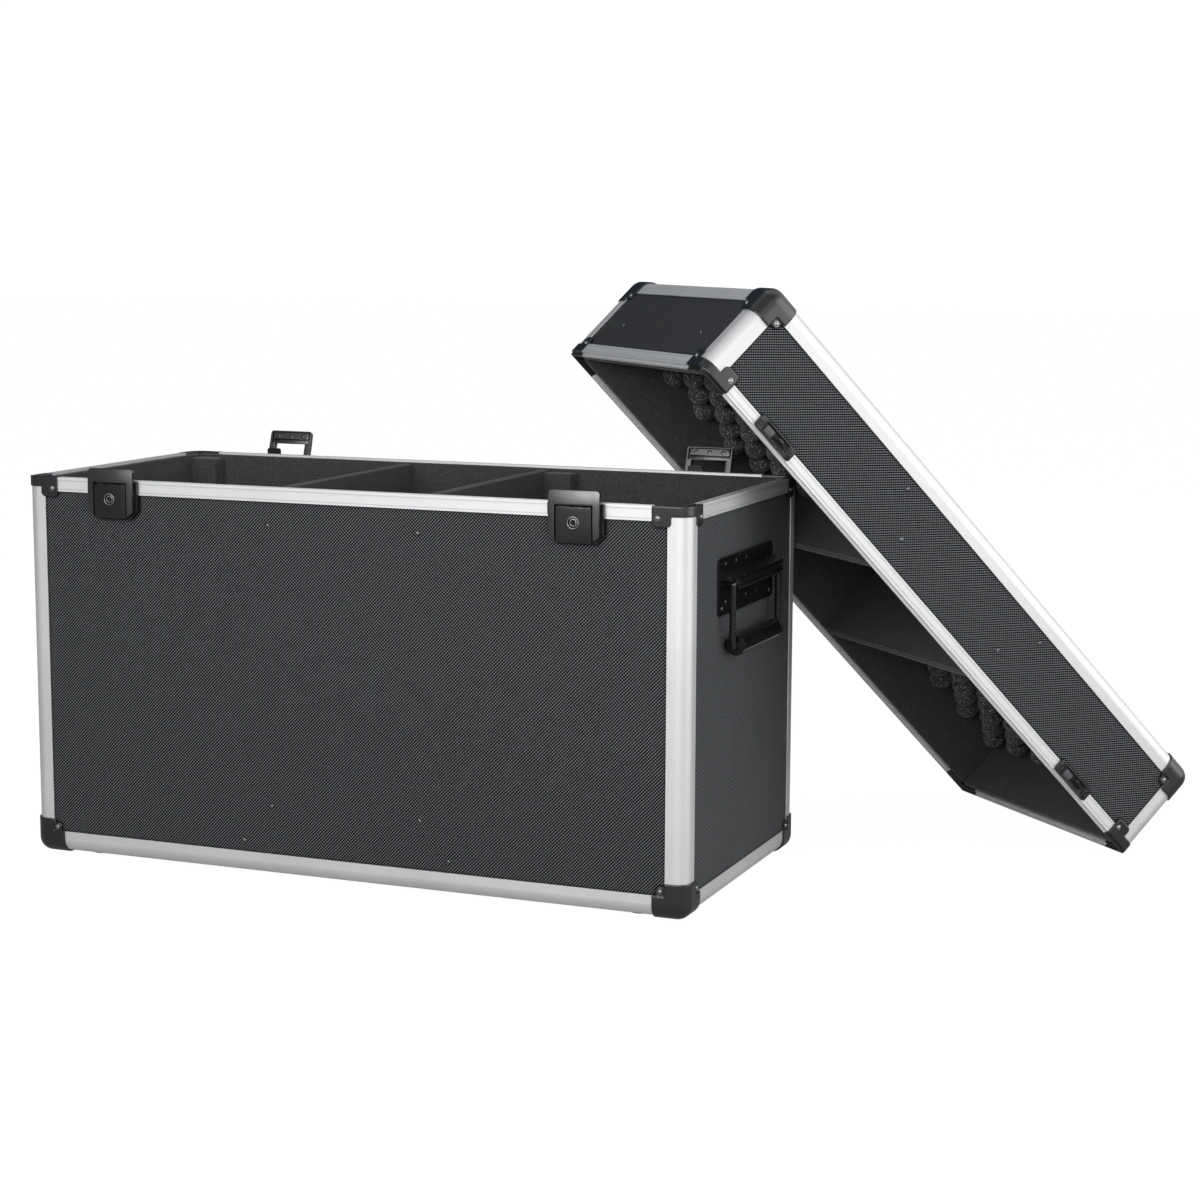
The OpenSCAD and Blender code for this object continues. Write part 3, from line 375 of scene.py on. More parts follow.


# %% Anodised aluminium, matt from etching, with painted shade along the fine grooves of the rim profiles
def extrusion(name, grooves=(), place=None, tone=0.68):
    """Each groove is its level and its half width, in the place of the piece."""
    m, t, skin, where, bump = finish(name, metallic=0.72, edge=0.3, place=place)
    anodised = grain_on(t, where, 2200.0, 11.0)
    dark = (tone, tone + 0.004, tone + 0.006)
    light = (tone + 0.03, tone + 0.034, tone + 0.036)
    colour = mix(t, anodised["Patches"], dark, light)
    if grooves:
        height = add_node(t, "SeparateXYZ", {"Vector": where}).outputs["Z"]
        groove_shade = 0.0
        for level, width in grooves:
            off = sum_node(t, "ABSOLUTE", sum_node(t, "SUBTRACT", height, level))
            line = sum_node(t, "SUBTRACT", 1.0, sum_node(t, "DIVIDE", off, width), clamp=True)
            groove_shade = sum_node(t, "MAXIMUM", groove_shade, line)
        # painted shade: each groove is darkened along its line
        colour = mix(t, sum_node(t, "MULTIPLY", groove_shade, 0.55), colour, (0.30, 0.31, 0.33))
    roughness = spread(t, anodised["Patches"], 0.49, 0.53)
    cover_skin(t, skin, bump, colour, roughness, anodised["Height"], 0.12, 0.05)
    return m


aluminium = extrusion("anodised aluminium", tone=0.635)
base_rim_aluminium = extrusion(
    "anodised rim of the base",
    [(RIM_Z - 3.4 * MM, 0.7 * MM), (RIM_Z - 13.2 * MM, 0.6 * MM)])
lid_rim_aluminium = extrusion(
    "anodised rim of the lid", [(5.6 * MM, 0.6 * MM), (13.2 * MM, 0.6 * MM)], lid_place)


# %% Moulded black plastic for latches, corners and strikes; the handles' paint, lacquer and grip
def grained(name, dark, light, roughness, grains, patches, strength, depth, **settings):
    """Two close colours and a range of roughness, in slow patches over a fine grain."""
    m, t, skin, where, bump = finish(name, **settings)
    g = grain_on(t, where, grains, patches)
    colour = mix(t, g["Patches"], dark, light)
    polish = spread(t, g["Patches"], *roughness)
    cover_skin(t, skin, bump, colour, polish, g["Height"], strength, depth)
    return m


def black_moulding(name, colour, roughness, grains, depth, shine=0.5, edge=0.45, **settings):
    lighter = tuple(c * 1.35 for c in colour)
    between = (roughness - 0.05, roughness + 0.06)
    m = grained(name, colour, lighter, between, grains, 22.0, 0.25, depth, edge=edge, **settings)
    skin_of(m)["Specular IOR Level"].default_value = shine
    return m


SATIN_BLACK = (0.0042, 0.0045, 0.0052)
black_plastic = black_moulding(
    "black moulded plastic", (0.0045, 0.0047, 0.0054), 0.27, 1800.0, 0.06)
cover_plastic = black_moulding(
    "satin cover plastic", SATIN_BLACK, 0.31, 2600.0, 0.02, shine=1.0, edge=0.3)
lever_plastic = black_moulding("satin lever plastic", SATIN_BLACK, 0.31, 2600.0, 0.02, edge=0.3)
corner_plastic = black_moulding(
    "black corner plastic", (0.0055, 0.0057, 0.0063), 0.31, 1500.0, 0.05, shine=0.75,
    edge=2.5, samples=8)
grip_plastic = black_moulding("black grip", (0.005, 0.005, 0.0056), 0.24, 900.0, 0.012)
handle_paint = black_moulding("black painted steel", (0.0042, 0.0043, 0.005), 0.22, 1200.0, 0.01)
lock_black = black_moulding("black lock recess", (0.002, 0.002, 0.002), 0.5, 1500.0, 0.02, edge=0.1)
satin_grey = black_moulding(
    "satin grey plastic", (0.050, 0.052, 0.056), 0.4, 1800.0, 0.03, edge=0.2)
foot_rubber = black_moulding("black rubber", (0.013, 0.013, 0.013), 0.75, 1300.0, 0.12)
wire_lacquer = black_moulding("black lacquered wire", (0.005, 0.005, 0.0055), 0.1, 700.0, 0.01)
skin_of(wire_lacquer)["IOR"].default_value = 1.55

# %% Steel for the rivets and pins, blackened for the screws, bright for the locks' rings
steel = grained("rivet steel", (0.25, 0.25, 0.255), (0.38, 0.38, 0.39), (0.2, 0.3),
                1600.0, 240.0, 0.2, 0.02, metallic=1.0, edge=0.15)
dark_steel = grained("blackened steel", (0.12, 0.12, 0.125), (0.24, 0.24, 0.25), (0.22, 0.4),
                     1600.0, 240.0, 0.2, 0.02, metallic=1.0, edge=0.15)
bright_steel = grained("polished lock steel", (0.40, 0.41, 0.42), (0.52, 0.52, 0.53), (0.32, 0.42),
                       2000.0, 300.0, 0.15, 0.02, metallic=1.0, edge=0.12)


# %% Foam: a fine dense one for the lining, a coarse open one for the knobs
def foam(name, dark, light, per_metre, depth, painted_glint_level, sheen):
    m, t, skin, where, bump = finish(name, edge=1.2)
    inputs = {"Vector": where, "Cells per metre": per_metre}
    c = add_node(t, "Group", inputs, node_tree=cells).outputs
    plain = mix(t, c["Shade"], dark, light)
    # painted glint: a few cells are painted a pale colour, as highlights
    colour = mix(t, spread(t, c["Rim"], 0.0, painted_glint_level), plain, (0.62, 0.61, 0.58))
    cover_skin(t, skin, bump, colour, 0.92, c["Height"], 0.7, depth)
    skin["Sheen Weight"].default_value = sheen
    skin["Sheen Roughness"].default_value = 0.5
    skin["Specular IOR Level"].default_value = 0.2
    return m


lining_foam = foam("dense lining foam", (0.029, 0.029, 0.028), (0.043, 0.043, 0.041),
                   1100.0, 0.35, 0.06, 0.12)
knob_foam = foam("open knobbed foam", (0.024, 0.024, 0.024), (0.048, 0.048, 0.047),
                 1150.0, 0.5, 0.5, 0.1)
print("finishes:", len(bpy.data.materials))

# %% [markdown]
# ## Hard pieces that keep their CAD shape
# Boards, profiles, corners, handles and latch mounts are right as the CAD has them, so each
# only gets its finish. A list of names beside each finish reads like a paint plan. The strikes
# and the latches' moving nodes are on it as well, though new pieces stand for them further on.

# %% Give the CAD nodes their finishes
paint_plan = [
    (board_front, ["base_front_panel", "base_rear_panel"]),
    (board_end, ["base_left_panel", "base_right_panel"]),
    (board_flat, ["base_bottom_panel"]),
    (lid_board_long, ["lid_front_panel", "lid_rear_panel"]),
    (lid_board_end, ["lid_upper_panel", "lid_lower_panel"]),
    (lid_board_flat, ["lid_top_panel"]),
    (aluminium, ["base_posts", "base_lower_rails", "lid_posts", "lid_top_rails"]),
    (base_rim_aluminium, ["base_rim_rails"]),
    (lid_rim_aluminium, ["lid_rim_rails"]),
    (corner_plastic,
     ["base_ball_corners", "base_rim_corners", "lid_ball_corners", "lid_rim_corners"]),
    (black_plastic, ["lid_strikes"]),
    (foot_rubber, ["feet"]),
    (handle_paint, ["handle_right_plate", "handle_left_plate"]),
    (wire_lacquer, ["handle_right_bail", "handle_left_bail"]),
    (grip_plastic, ["handle_right_grip", "handle_left_grip"]),
    (steel, ["latch_pins"]),
]
LATCHES = ["front_left", "front_right", "rear_left", "rear_right"]
for latch in LATCHES:
    latch_nodes = [latch + part for part in ("_mount", "_lever", "_hook", "_lock")]
    paint_plan.append((black_plastic, latch_nodes))
for material, names in paint_plan:
    for name in names:
        mesh = nodes[name].data
        mesh.materials.clear()
        mesh.materials.append(material)
print("painted:", sum(len(names) for _, names in paint_plan))

# %% [markdown]
# ## Tools for new pieces
# New pieces are modelled the way a hand would do it: a primitive at its size and place, shaped
# by edit operators and finished by applied modifiers. A few small helpers keep that short.


# %% Helpers: what is selected, new pieces, cuts and modifiers, and the last placing
def deselect():
    bpy.ops.object.select_all(action="DESELECT")


def only(piece):
    deselect()
    piece.select_set(True)
    bpy.context.view_layer.objects.active = piece


def added(name):
    """The primitive that was just added, its place and size now in its mesh."""
    piece = bpy.context.object
    piece.name = piece.data.name = name
    bpy.ops.object.transform_apply(location=True, rotation=True, scale=True)
    return piece


def block(name, low, high):
    """A box between two corners."""
    deselect()
    low, high = Vector(low), Vector(high)
    bpy.ops.mesh.primitive_cube_add(size=1, location=(low + high) / 2, scale=high - low)
    return added(name)


def shown(name, mesh):
    """An object of its own for a mesh."""
    piece = bpy.data.objects.new(name, mesh)
    bpy.context.scene.collection.objects.link(piece)
    return piece


def with_modifier(piece, kind, **settings):
    only(piece)
    modifier = piece.modifiers.new("shape", kind)
    for key, value in settings.items():
        setattr(modifier, key, value)
    bpy.ops.object.modifier_apply(modifier=modifier.name)


def cut_by(piece, tool):
    with_modifier(piece, "BOOLEAN", object=tool, operation="DIFFERENCE", solver="EXACT")
    bpy.data.objects.remove(tool)


def sliced(piece, axis, places):
    """Cuts a mesh across an axis at each place, so that it can be bent there."""
    normal = Matrix.Identity(3)[axis]
    only(piece)
    bpy.ops.object.mode_set(mode="EDIT")
    for at in places:
        bpy.ops.mesh.select_all(action="SELECT")
        bpy.ops.mesh.bisect(plane_co=normal * at, plane_no=normal)
    bpy.ops.object.mode_set(mode="OBJECT")


def smooth(piece, angle=38):
    only(piece)
    bpy.ops.object.shade_smooth_by_angle(angle=math.radians(angle))
    return piece


def one_piece(name, pieces):
    deselect()
    for piece in pieces:
        piece.select_set(True)
    bpy.context.view_layer.objects.active = pieces[0]
    bpy.ops.object.join()
    pieces[0].name = pieces[0].data.name = name
    return pieces[0]


def install(piece, place, material, body, slot, *replaced):
    """Puts the finished mesh in its place, hangs it on its body and hides the CAD nodes that it
    stands for.
    """
    piece.data.transform(place)
    piece.data.update()
    piece.data.materials.clear()
    piece.data.materials.append(material)
    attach(piece, body)
    if replaced:
        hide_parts(*replaced)
    return piece


# %% [markdown]
# ## Lining of the walls and the floor
# The case is lined with sheets of dense foam, glued to the boards. A cut sheet has slightly
# rolled edges and never lies quite flat, so each sheet is a block with rounded edges, divided
# finely, and its faces are moved by a slow wave of less than a millimetre.

# %% A foam sheet
rng = random.Random(7)
half_l, half_d = LENGTH / 2, DEPTH / 2
board_back, lining_face = 8.2 * MM, 17.4 * MM  # how deep these lie below the outer face
inner_l, inner_d = half_l - lining_face, half_d - lining_face


def foam_sheet(name, low, high, roll=1.6 * MM, cell=14 * MM, wave=0.35 * MM):
    sheet = block(name, low, high)
    with_modifier(sheet, "BEVEL", width=roll, segments=3, limit_method="ANGLE")
    for axis in range(3):
        size = high[axis] - low[axis]
        steps = int(size / cell)
        sliced(sheet, axis, [low[axis] + size * k / steps for k in range(1, steps)])
    seed = rng.uniform(0, 9)
    for v in sheet.data.vertices:
        x, y, z = v.co
        sway = math.sin(x * 31 + seed) + math.sin(y * 37 + 2 * seed) + math.sin(z * 29 + 3 * seed)
        v.co += v.normal * sway / 3 * wave
    return smooth(sheet, 40)


def glue_in(piece, place, body, node):
    return install(piece, place, lining_foam, body, "lining_foam", node)


# %% Walls of the base
rim_clear = 9.8 * MM  # the walls' foam starts this deep, clear of the rim's back
# a long sheet ends just short of the corner, and an end sheet passes it
long_gap, end_overlap = 0.4 * MM, 3 * MM


def wall_sheets(name, low, top):
    """The four sheets of a shell's walls, between two levels."""
    long_x, end_y = inner_l - long_gap, inner_d + end_overlap
    corners = [
        ((-long_x, -half_d + rim_clear), (long_x, -inner_d)),
        ((-long_x, inner_d), (long_x, half_d - rim_clear)),
        ((-half_l + rim_clear, -end_y), (-inner_l, end_y)),
        ((inner_l, -end_y), (half_l - rim_clear, end_y)),
    ]
    sheets = [foam_sheet("sheet", (*a, low), (*b, top), cell=22 * MM) for a, b in corners]
    return one_piece(name, sheets)


# how far a wall's foam ends from the closed side, and how far from the rim
LINING_FOOT, LINING_DROP = 14 * MM, 2 * MM
base_walls = wall_sheets("base_wall_foam", LINING_FOOT, BASE_HEIGHT - LINING_DROP)
glue_in(base_walls, *BASE, "base_lining")

# %% Floor pad
pad_top = 20.2 * MM
pad_x, pad_y = inner_l - 0.3 * MM, inner_d - 0.3 * MM
pad = foam_sheet("floor_foam", (-pad_x, -pad_y, board_back), (pad_x, pad_y, pad_top), cell=30 * MM)
glue_in(pad, *BASE, "floor_pad")
print("walls and floor lined")


# %% [markdown]
# A divider is a stiff board with foam on both faces, so its top shows three layers. The board
# stands a hair higher than the foam.

# %% Dividers
divider_x, divider_half = 91 * MM, 6 * MM


def divider(name, x, low, top):
    half_core, y, foam_drop = 1.7 * MM, inner_d - 0.4 * MM, 0.6 * MM

    def layer(x0, x1, drop, **looks):
        return foam_sheet("layer", (x0, -y, low), (x1, y, top - drop), **looks)

    foam_face = dict(roll=1.2 * MM, cell=24 * MM, wave=0.2 * MM)
    return one_piece(name, [
        layer(x - divider_half, x - half_core, foam_drop, **foam_face),
        layer(x - half_core, x + half_core, 0, roll=0.5 * MM, cell=60 * MM, wave=0.0),
        layer(x + half_core, x + divider_half, foam_drop, **foam_face)])


for name, x in (("divider_left", -divider_x), ("divider_right", divider_x)):
    glue_in(divider(name + "_padded", x, pad_top, BASE_HEIGHT - 3 * MM), *BASE, name)
for name, x in (("lid_divider_upper", -divider_x), ("lid_divider_lower", divider_x)):
    # drawn upside down, so that its foam ends above the rim, and then turned over and inside out
    piece = divider(name + "_padded", x, board_back - LID_HEIGHT, -LID_RIM - 0.5 * MM)
    piece.data.transform(Matrix.Scale(-1, 4, (0, 0, 1)))
    only(piece)
    bpy.ops.object.mode_set(mode="EDIT")
    bpy.ops.mesh.select_all(action="SELECT")
    bpy.ops.mesh.flip_normals()
    bpy.ops.object.mode_set(mode="OBJECT")
    glue_in(piece, *LID, name)

# %% Corner blocks
block_w, block_d, block_gap = 36 * MM, 22 * MM, 0.2 * MM
block_top = BASE_HEIGHT - 5.5 * MM
blocks = []
for x in (-inner_l, divider_x + divider_half):
    for side in (-1, 1):
        y0, y1 = sorted((side * (inner_d - block_gap), side * (inner_d - block_d)))
        blocks.append(foam_sheet(
            "corner block", (x + block_gap, y0, pad_top), (x + block_w, y1, block_top),
            roll=2 * MM, cell=12 * MM, wave=0.4 * MM))
glue_in(one_piece("corner_foam_blocks", blocks), *BASE, "foam_blocks")

# %% Walls of the lid
lid_walls = wall_sheets("lid_wall_foam", LID_RIM + LINING_DROP, LID_HEIGHT - LINING_FOOT)
glue_in(lid_walls, *LID, "lid_lining")
print("dividers, blocks and lid walls done")

# %% [markdown]
# ## Knobbed foam
# The lid's two end bays hold convoluted foam: a thick back with round fingers in staggered
# rows. One finger is modelled: a ball is stretched, given a slight waist, and joined to the
# back. It is then copied to each place with its own small turn and size, as a cut sheet of foam
# has.

# %% One finger of foam
PAD_FACE, TIP = 89.8 * MM, 53.9 * MM
finger_r, finger_h = 14.4 * MM, PAD_FACE - TIP
SUNK = 6 * MM  # how far a finger reaches into the back
# where it is widest, as a share of its height, and how much slimmer it gets below that
BULGE, WAIST = 0.6, 0.06


def finger():
    deselect()
    bpy.ops.mesh.primitive_uv_sphere_add(segments=20, ring_count=14, radius=1.0, location=(0, 0, 0))
    piece = bpy.context.object
    for v in piece.data.vertices:
        height = (v.co.z + 1) / 2 * (finger_h + SUNK) - SUNK
        share = height / finger_h
        if math.hypot(v.co.x, v.co.y) < 1e-6:
            wide = 0.0
        elif share > BULGE:
            wide = math.sqrt(max(0.0, 1 - ((share - BULGE) / (1 - BULGE)) ** 2))
        elif share > 0:
            wide = 1 - WAIST + WAIST * math.cos((share - BULGE) / BULGE * math.pi * 2)
        else:
            wide = 1.0
        around = math.atan2(v.co.y, v.co.x)
        v.co = (math.cos(around) * finger_r * wide, math.sin(around) * finger_r * wide, height)
    return piece


finger_model = finger()
finger_model.name = "finger model"

# %% A pad of fingers
ROW_X, ROW_Y = 29 * MM, 28 * MM  # half of the spacing, because every other row is shifted
# how far the first row is from the divider, and the room that a finger needs at its root
FIRST_ROW, ROOT_R = 26.8 * MM, 14.5 * MM


def knob_pad(name, x0, x1, seed):
    draw = random.Random(seed)
    gap = 0.4 * MM
    pad_back = foam_sheet(
        name + " back", (x0 + gap, -inner_d + gap, PAD_FACE),
        (x1 - gap, inner_d - gap, LID_HEIGHT - board_back), cell=16 * MM, wave=0.6 * MM)
    copies = [pad_back]
    outward = 1 if x0 > 0 else -1
    first = divider_x + divider_half + FIRST_ROW
    across = int((inner_d - ROOT_R) / ROW_Y)
    along = int((x1 - x0 - FIRST_ROW - ROOT_R) / ROW_X)
    for i in range(along + 1):
        for j in range(-across, across + 1):
            if (i + j) % 2 == 0:
                continue
            mesh = finger_model.data.copy()
            # each finger has its own size, and is a little three-sided
            size = 1 + draw.uniform(-0.05, 0.03)
            for v in mesh.vertices:
                around = 3 * math.atan2(v.co.y, v.co.x) + draw.random() * 0.2
                wobble = 1 + 0.05 * math.sin(around + i + 2 * j)
                v.co.x *= size * wobble
                v.co.y *= size * wobble
            at = Matrix.Translation(((first + i * ROW_X) * outward, j * ROW_Y, PAD_FACE))
            spin = Matrix.Rotation(draw.uniform(0, 6), 4, "Z")
            mesh.transform(at @ Matrix.Rotation(math.pi, 4, "X") @ spin)
            copies.append(shown("finger", mesh))
    pad = one_piece(name, copies)
    only(pad)
    bpy.ops.object.shade_smooth()
    return pad


bay_start = divider_x + divider_half
for end, x0, x1, seed in (("upper", -inner_l, -bay_start, 3), ("lower", bay_start, inner_l, 5)):
    pad = install(knob_pad("knobbed_foam_" + end, x0, x1, seed),
                  lid_place, knob_foam, "lid", "knobbed_foam", "knob_foam_" + end)
    print(pad.name, "triangles:", sum(len(p.vertices) - 2 for p in pad.data.polygons))
bpy.data.objects.remove(finger_model)

# %% [markdown]
# ## Latches
# The latch covers and levers are what the eye goes to, so they are modelled again over the CAD
# ones: plates that are crowned both ways, with rounded corners and edges. A plate starts as its
# outline seen from the front. All numbers are millimetres in the latch's own place: x along the
# rim, outward is -y, and z = 0 on the rim.


# %% An outline with rounded corners, and a plate made from one
def rounded(corners, steps=5):
    """corners is a list of (x, z, radius) around the outline."""
    points = []
    for i, (x, z, r) in enumerate(corners):
        here = Vector((x, z))
        if r == 0:
            points.append(here)
            continue
        back = (Vector(corners[i - 1][:2]) - here).normalized()
        on = (Vector(corners[(i + 1) % len(corners)][:2]) - here).normalized()
        half = back.angle(on) / 2
        middle = here + (back + on).normalized() * r / math.sin(half)
        first = here + back * r / math.tan(half) - middle
        last = here + on * r / math.tan(half) - middle
        start = math.atan2(first.y, first.x)
        sweep = (math.atan2(last.y, last.x) - start + math.pi) % (2 * math.pi) - math.pi
        for k in range(steps + 1):
            a = start + sweep * k / steps
            points.append(middle + Vector((math.cos(a), math.sin(a))) * r)
    return points


def plate(name, outline, back, face):
    """A plate between two depths, from an outline in x and z."""
    mesh = bpy.data.meshes.new(name)
    corners = [(p.x * MM, back * MM, p.y * MM) for p in outline]
    mesh.from_pydata(corners, [], [list(range(len(outline)))])
    piece = shown(name, mesh)
    only(piece)
    bpy.ops.object.mode_set(mode="EDIT")
    bpy.ops.mesh.select_all(action="SELECT")
    outward = (0, (face - back) * MM, 0)
    bpy.ops.mesh.extrude_region_move(TRANSFORM_OT_translate={"value": outward})
    bpy.ops.mesh.select_all(action="SELECT")
    bpy.ops.mesh.normals_make_consistent(inside=False)
    bpy.ops.object.mode_set(mode="OBJECT")
    return piece


# %% Bars, boxes, soft edges and the crown
def rod(name, radius, start, end, axis="X", at=(0, 0, 0), sides=32):
    """A round bar along one axis, between two places on it."""
    deselect()
    turned = {"X": (0, math.pi / 2, 0), "Y": (math.pi / 2, 0, 0)}[axis]
    middle = list(at)
    middle["XYZ".index(axis)] = (start + end) / 2
    bpy.ops.mesh.primitive_cylinder_add(
        vertices=sides, radius=radius * MM, depth=(end - start) * MM,
        location=[v * MM for v in middle], rotation=turned)
    return added(name)


def slab(name, low, high):
    """A box between two corners."""
    return block(name, [v * MM for v in low], [v * MM for v in high])


def softened(piece, width, segments=3):
    with_modifier(piece, "BEVEL", width=width * MM, segments=segments, limit_method="ANGLE",
                  angle_limit=math.radians(32))
    return piece


def crowned(piece, face, back, side_r=240.0, up_r=260.0, top_bow=12200.0, level=-16.0):
    """Bows the outer face both ways, more steeply above its level. The back stays where it is."""
    for v in piece.data.vertices:
        share = (back * MM - v.co.y) / ((back - face) * MM)
        above = v.co.z / MM - level
        bow = above ** 3 / top_bow if above > 0 else above ** 2 / (2 * up_r)
        fall = v.co.x ** 2 / (2 * side_r * MM) + bow * MM
        v.co.y += max(0.0, min(1.0, share)) * fall


def sliced_finely(piece, x_end, z_start, z_end, step=3):
    """Cuts a plate into small fields both ways."""
    sliced(piece, 0, [x * MM for x in range(-x_end, x_end + 1, step)])
    sliced(piece, 2, [z * MM for z in range(z_start, z_end, step)])


# %% The cover: a frame round the lever, with a hollow and the hook block behind its top
COVER_FACE, COVER_BACK, FRONT_WALL_BACK = -12, -3.8, -8.3
HOOK_SIDE, HOOK_FRONT, HOOK_BACK = 25.2, -8.9, -4.3
MARK_Z = 6.8


def cover_model():
    outline = rounded([
        (-28.5, 13, 3.2), (28.5, 13, 3.2), (28.5, -35, 1.5), (21.5, -40, 0),
        (21.5, -2, 1.6), (-21.5, -2, 1.6), (-21.5, -40, 0), (-28.5, -35, 1.5)])
    shell = plate("cover", outline, COVER_BACK, COVER_FACE)
    cut_by(shell, slab("hollow", (-26.3, FRONT_WALL_BACK, -2.4), (26.3, -3, 11.5)))
    softened(shell, 0.9)
    sliced_finely(shell, 27, -39, 13)
    crowned(shell, COVER_FACE, FRONT_WALL_BACK)
    hook = softened(slab("hook", (-HOOK_SIDE, HOOK_FRONT, 2.5), (HOOK_SIDE, HOOK_BACK, 11.2)), 0.5)
    parts = [shell, hook]
    for x in (-17, 0, 17):
        cut_by(hook, rod("mark", 3.1, -4.9, -4, "Y", (x, 0, MARK_Z)))
        parts.append(softened(rod("pin", 2.3, -5.2, HOOK_BACK, "Y", (x, 0, MARK_Z)), 0.3, 2))
    web = slab("web", (-HOOK_SIDE, HOOK_FRONT, -1.6), (HOOK_SIDE, -7.8, 3.0))
    parts.append(softened(web, 0.3, 2))
    return smooth(one_piece("cover", parts))


# %% The lever: a crowned flap on barrels, with ribs behind it and a bore for the lock
LEVER_FACE, LEVER_BACK = -11.6, -8.5
HINGE, TRUNNION = (0, -7.2, -5), (0, -6.6, -25)
LOCK_MIDDLE, BORE_R = (0, 0, -20.5), 5.5


def lever_model():
    outline = rounded([(-20, -4.6, 0.9), (20, -4.6, 0.9), (20, -42, 2.2), (-20, -42, 2.2)])
    flap = plate("lever", outline, LEVER_BACK, LEVER_FACE)
    cut_by(flap, rod("bore", BORE_R, -13, -7, "Y", LOCK_MIDDLE, 48))
    softened(flap, 0.5)
    sliced_finely(flap, 18, -39, -5)
    crowned(flap, LEVER_FACE, LEVER_BACK)
    parts = [flap]
    for side in (-1, 1):
        x0, x1 = sorted((side * 17, side * 20))
        parts.append(softened(slab("rib", (x0, -9, -41.2), (x1, -4.5, -7.4)), 0.4, 2))
        for name, radius, near, far, at in (("trunnion", 1.6, 17, 25, TRUNNION),
                                            ("barrel", 2.4, 11, 18.5, HINGE)):
            x0, x1 = sorted((side * near, side * far))
            parts.append(softened(rod(name, radius, x0, x1, at=at), 0.3, 2))
    parts.append(softened(rod("barrel", 2.4, -4, 4, at=HINGE), 0.3, 2))
    parts.append(softened(slab("lip", (-17.5, -9, -41.6), (17.5, -4.5, -40.2)), 0.4, 2))
    boss = rod("boss", 7.4, -9, -5, "Y", LOCK_MIDDLE, 48)
    cut_by(boss, rod("bore", BORE_R, -10, -4, "Y", LOCK_MIDDLE, 48))
    parts.append(softened(boss, 0.3, 2))
    return smooth(one_piece("lever", parts))


# %% The lock: a bright bezel, a dark barrel, and a bright ring round the key hole with a gap in it
def ring(name, outer, inner, back, face):
    piece = rod(name, outer, face, back, "Y", LOCK_MIDDLE, 56)
    cut_by(piece, rod("inside", inner, face - 1, back + 1, "Y", LOCK_MIDDLE, 56))
    return piece


def bezel_model():
    return smooth(softened(ring("bezel", 6.45, 5.8, -11.2, -11.95), 0.2, 3))


def barrel_model():
    barrel = softened(rod("barrel", 5.2, -9.2, -3.8, "Y", LOCK_MIDDLE, 48), 0.2, 2)
    cut_by(barrel, slab("key", (-0.8, -10, -23.2), (0.8, -7, -18.6)))
    cam = softened(slab("cam", (-2, -4.6, -20.5), (2, -3.8, -12)), 0.2, 2)
    return smooth(one_piece("barrel", [barrel, cam]))


def key_ring_model():
    piece = ring("key ring", 3.9, 3.35, -9, -11.3)
    gap = slab("gap", (-0.7, -13, -4.6), (0.7, -9, 0))
    to_lock = Matrix.Translation(Vector(LOCK_MIDDLE) * MM)
    gap.data.transform(to_lock @ Matrix.Rotation(math.radians(-28), 4, "Y"))
    cut_by(piece, gap)
    return smooth(softened(piece, 0.18, 2))


# %% Four latches, each piece turned as its CAD node stands: the front ones shut, the rear ones open
LATCH_X, FRONT_SHIFT = 280 * MM, 4 * MM
LEVER_OPEN = 75
HOOK_SHARE = 0.25  # the hook turns back by 1.25 of the lever's swing, a quarter more than it
HINGE_AXIS, HOOK_AXIS = Vector(HINGE) * MM, Vector(TRUNNION) * MM


def about(axis, degrees, to=None):
    """A turn about an axis along x, which then lies at another place if one is given."""
    turned = Matrix.Rotation(math.radians(degrees), 4, "X")
    return Matrix.Translation(axis if to is None else to) @ turned @ Matrix.Translation(-axis)


def latch_place(name):
    front, left = name.startswith("front"), name.endswith("left")
    x = (-LATCH_X if left else LATCH_X) - (FRONT_SHIFT if front else 0)
    y = -half_d if front else half_d
    at = Matrix.Translation((BASE_MID[0] + x, BASE_MID[1] + y, RIM_Z))
    return at if front else at @ Matrix.Rotation(math.pi, 4, "Z")


def copy_of(model, name):
    piece = shown(name, model.data.copy())
    piece.data.name = name
    return piece


# a piece's name, its model and finish, the part of the latch that it moves with, and its slot
latch_pieces = [
    ("cover", cover_model(), cover_plastic, "hook", "black_plastic"),
    ("flap", lever_model(), lever_plastic, "lever", "black_plastic"),
    ("bezel", bezel_model(), bright_steel, "lever", "lock_metal"),
    ("barrel", barrel_model(), lock_black, "lock", "lock_metal"),
    ("key_ring", key_ring_model(), bright_steel, "lock", "lock_metal"),
]
for latch in LATCHES:
    opened = 0 if latch.startswith("front") else LEVER_OPEN
    lever_turn = about(HINGE_AXIS, -opened)
    hook_turn = about(HOOK_AXIS, opened * HOOK_SHARE, lever_turn @ HOOK_AXIS)
    for name, model, material, part, slot in latch_pieces:
        place = latch_place(latch) @ (hook_turn if part == "hook" else lever_turn)
        node = latch + "_" + part
        # the bezel is an extra on the lever, and stands for no node
        replaced = [] if name == "bezel" else [node]
        piece = copy_of(model, latch + "_" + name)
        install(piece, place, material, node + "_body", slot, *replaced)
for _, model, *_ in latch_pieces:
    bpy.data.objects.remove(model)
print("latch pieces:", len(LATCHES) * len(latch_pieces))


